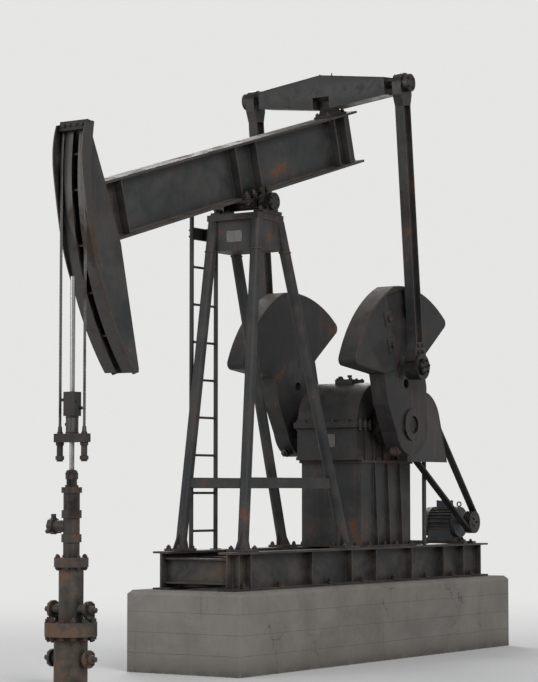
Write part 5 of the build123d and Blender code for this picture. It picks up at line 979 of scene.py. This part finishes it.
OUTLETS = (WELL + 0.210 * UP, WELL + 0.560 * UP)
OUTLET_REACH = 0.175
UNION = WELL + 1.160 * UP
GLAND_LOW_Z = 1.4415
GLAND_HIGH_Z = 1.530
GLAND_BAR_DEPTH = 0.014

bolts("casing_studs", flange_studs(0.470, 0.370, 0.162, 12, 15), 0.026)
bolts("bonnet_studs", flange_studs(0.934, 0.866, 0.107, 8, 22.5), 0.016)
outlet_screws = sum([both_ends(outlet, OUTLET_REACH, 0.053, 4, 45) for outlet in OUTLETS], [])
bolts("outlet_bolts", outlet_screws, 0.010, stud=False)
plug = joined(
    turned(((0.034, -0.002), (0.034, 0.020), (0.026, 0.034), (0.024, 0.034)), 28),
    hexagon(0.036, 0.030, 0.058, 0.003),
)
outlet_ends = [frame_at(outlet + side * OUTLET_REACH * FAR, side * FAR) for outlet in OUTLETS for side in SIDES]
piece("outlet_plugs", copies(plug, outlet_ends), "wellhead_paint", smooth=40)
lug_directions = side_view(np.radians((90, 210, 330)))
union_lugs = [frame_at(UNION + 0.167 * FAR + 0.052 * out, out, FAR) for out in lug_directions]
union_cap = turned(((0.040, 0.0), (0.040, 0.010), (0.032, 0.020), (0.012, 0.024)), 28)
piece("union_lugs", joined(
    copies(block(0.030, 0.026, 0.036), union_lugs), placed(union_cap, UNION + 0.189 * FAR, FAR),
), "wellhead_paint", bevel=0.003)
piece("gland_bars", joined(
    placed(block(0.120, 0.026, GLAND_BAR_DEPTH), WELL + GLAND_HIGH_Z * UP, UP),
    copies(turned(((0.007, -0.060), (0.007, 0.052)), 10), facing(UP, gland_places(1.500))),
    placed(block(0.120, 0.030, 0.016), WELL + GLAND_LOW_Z * UP, UP),
), "wellhead_paint", bevel=0.002)
bolts("gland_nuts", facing(UP, gland_places(GLAND_HIGH_Z + GLAND_BAR_DEPTH)), 0.012)


# Carrier bar: ferrules on the wires, their nuts below, and the lips of the load cell
def wire_frames(height):
    """A frame on each wire's axis at a height."""
    return facing(UP, [(ROD_X, side * WIRE_Y, height) for side in SIDES])


ferrule = turned(((0.022, 0.0), (0.022, 0.010), (0.017, 0.016), (0.0145, 0.050), (0.0115, 0.056)), 24)
steel_piece("wire_ferrules", copies(ferrule, wire_frames(CARRIER_TOP)), "rod_body", 38)
socket_nut = hexagon(0.056, 0.0, 0.030, 0.004)
steel_piece("socket_nuts", copies(socket_nut, wire_frames(CARRIER_TOP - 0.190)), "rod_body")
cell_lip = turned(((0.0455, -0.006), (0.0485, -0.003), (0.0485, 0.003), (0.0455, 0.006)), 40)
piece("cell_lips", copies(cell_lip, facing(UP, [WELL + z * UP for z in (1.838, 1.948)])), "casting", "rod_body")

# Wire ropes
ROPE_PITCH = 0.16


def rope(path):
    """Six strands round a core: at run s strand k is 0.64 of the rope's radius from the path, towards
    cos a lift + sin a side, where a = 2 pi (s / ROPE_PITCH + k / 6)."""
    lift, side = square_to(path, FAR)
    parts = []
    for k in range(6):
        angle = (2 * pi * (run_along(path) / ROPE_PITCH + k / 6))[:, None]
        strand = path + 0.64 * WIRE_RADIUS * (np.cos(angle) * lift + np.sin(angle) * side)
        parts.append(tube(strand, 0.36 * WIRE_RADIUS, 6, FAR))
    return joined(*parts, tube(path, 0.5 * WIRE_RADIUS, 6, FAR))


def both_ropes(middle):
    """The near and the far rope, each beside a path in the machine's middle."""
    return joined(*[rope(middle + side * WIRE_Y * FAR) for side in SIDES])


heights = np.linspace(CARRIER_TOP, 3.7515, 155)[:, None]
lines = piece("rope_lines", both_ropes(WELL + heights * UP), "bare_steel", "rod_body", ROPE_STEEL)
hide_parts("wire_lines")
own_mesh(lines)

wrap_angles = np.radians(np.linspace(0.0, -7.70, 27))
wraps = piece("rope_wraps", both_ropes(PIVOT + ROD_X * side_view(wrap_angles)), None, None, ROPE_STEEL)
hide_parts("wire_wraps")
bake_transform(wraps)


# Camera, floor and light
def make_camera():
    """The photograph's view: its place, its direction and its lens."""
    data = bpy.data.cameras.new("camera")
    data.lens = 116.1
    data.sensor_width = 36.0
    data.clip_end = 2000.0
    camera = bpy.data.objects.new("camera", data)
    bpy.context.scene.collection.objects.link(camera)
    camera.location = (-14.66, -10.11, 1.40)
    pitch = radians(3.95)
    heading = Vector((0.829 * cos(pitch), 0.559 * cos(pitch), sin(pitch)))
    camera.rotation_euler = heading.to_track_quat("-Z", "Y").to_euler()
    bpy.context.scene.camera = camera


BACKDROP = (0.79, 0.79, 0.78, 1.0)


def make_floor():
    """A wide pale disc on the ground, which turns into the backdrop's colour far from the machine."""
    material, tree, shader, places = new_material("floor_pale")
    shader.inputs["Base Color"].default_value = (0.60, 0.595, 0.58, 1.0)
    shader.inputs["Roughness"].default_value = 0.9
    shader.inputs["Specular IOR Level"].default_value = 0.2
    away = vector_maths(tree, "LENGTH", places["Object"])["Value"]
    glow = node_of(tree, "ShaderNodeEmission", {"Color": BACKDROP, "Strength": 1.0})
    share = stepped(tree, away, 2.0, 13.0)
    both = node_of(tree, "ShaderNodeMixShader", {0: share, 1: shader.outputs[0], 2: glow.outputs[0]})
    tree.links.new(both.outputs[0], tree.nodes["Material Output"].inputs[0])
    disc = turned(((900.0, -0.02), (900.0, 0.0)), 128)
    floor = piece("floor", placed(disc, (0, 0, -0.001), UP), None, None, material)


def make_lamp(name, place, size, power, aim=(0.3, 0.0, 2.2)):
    """A soft square lamp turned towards the machine."""
    data = bpy.data.lights.new(name, "AREA")
    data.size = size
    data.energy = power
    lamp = bpy.data.objects.new(name, data)
    bpy.context.scene.collection.objects.link(lamp)
    lamp.location = place
    lamp.rotation_euler = (Vector(aim) - Vector(place)).to_track_quat("-Z", "Y").to_euler()


def make_world():
    """An even pale light from all round, and a pale backdrop behind the machine."""
    world = bpy.data.worlds.new("studio")
    bpy.context.scene.world = world
    world.use_nodes = True
    tree = world.node_tree
    tree.nodes.clear()
    seen = tree.nodes.new("ShaderNodeLightPath").outputs["Is Camera Ray"]
    light = node_of(tree, "ShaderNodeBackground", {"Color": (0.93, 0.96, 1.0, 1.0), "Strength": 0.55})
    behind = node_of(tree, "ShaderNodeBackground", {"Color": BACKDROP, "Strength": 1.0})
    both = node_of(tree, "ShaderNodeMixShader", {0: seen, 1: light.outputs[0], 2: behind.outputs[0]})
    node_of(tree, "ShaderNodeOutputWorld", {0: both.outputs[0]})


make_camera()
make_floor()
make_lamp("key", (-9.0, -13.0, 10.0), 7.0, 1500)
make_lamp("fill", (-13.0, 6.0, 6.0), 8.0, 500)
make_lamp("rim", (9.0, 8.0, 9.0), 6.0, 750)
make_world()
bpy.context.scene.view_settings.view_transform = "Standard"
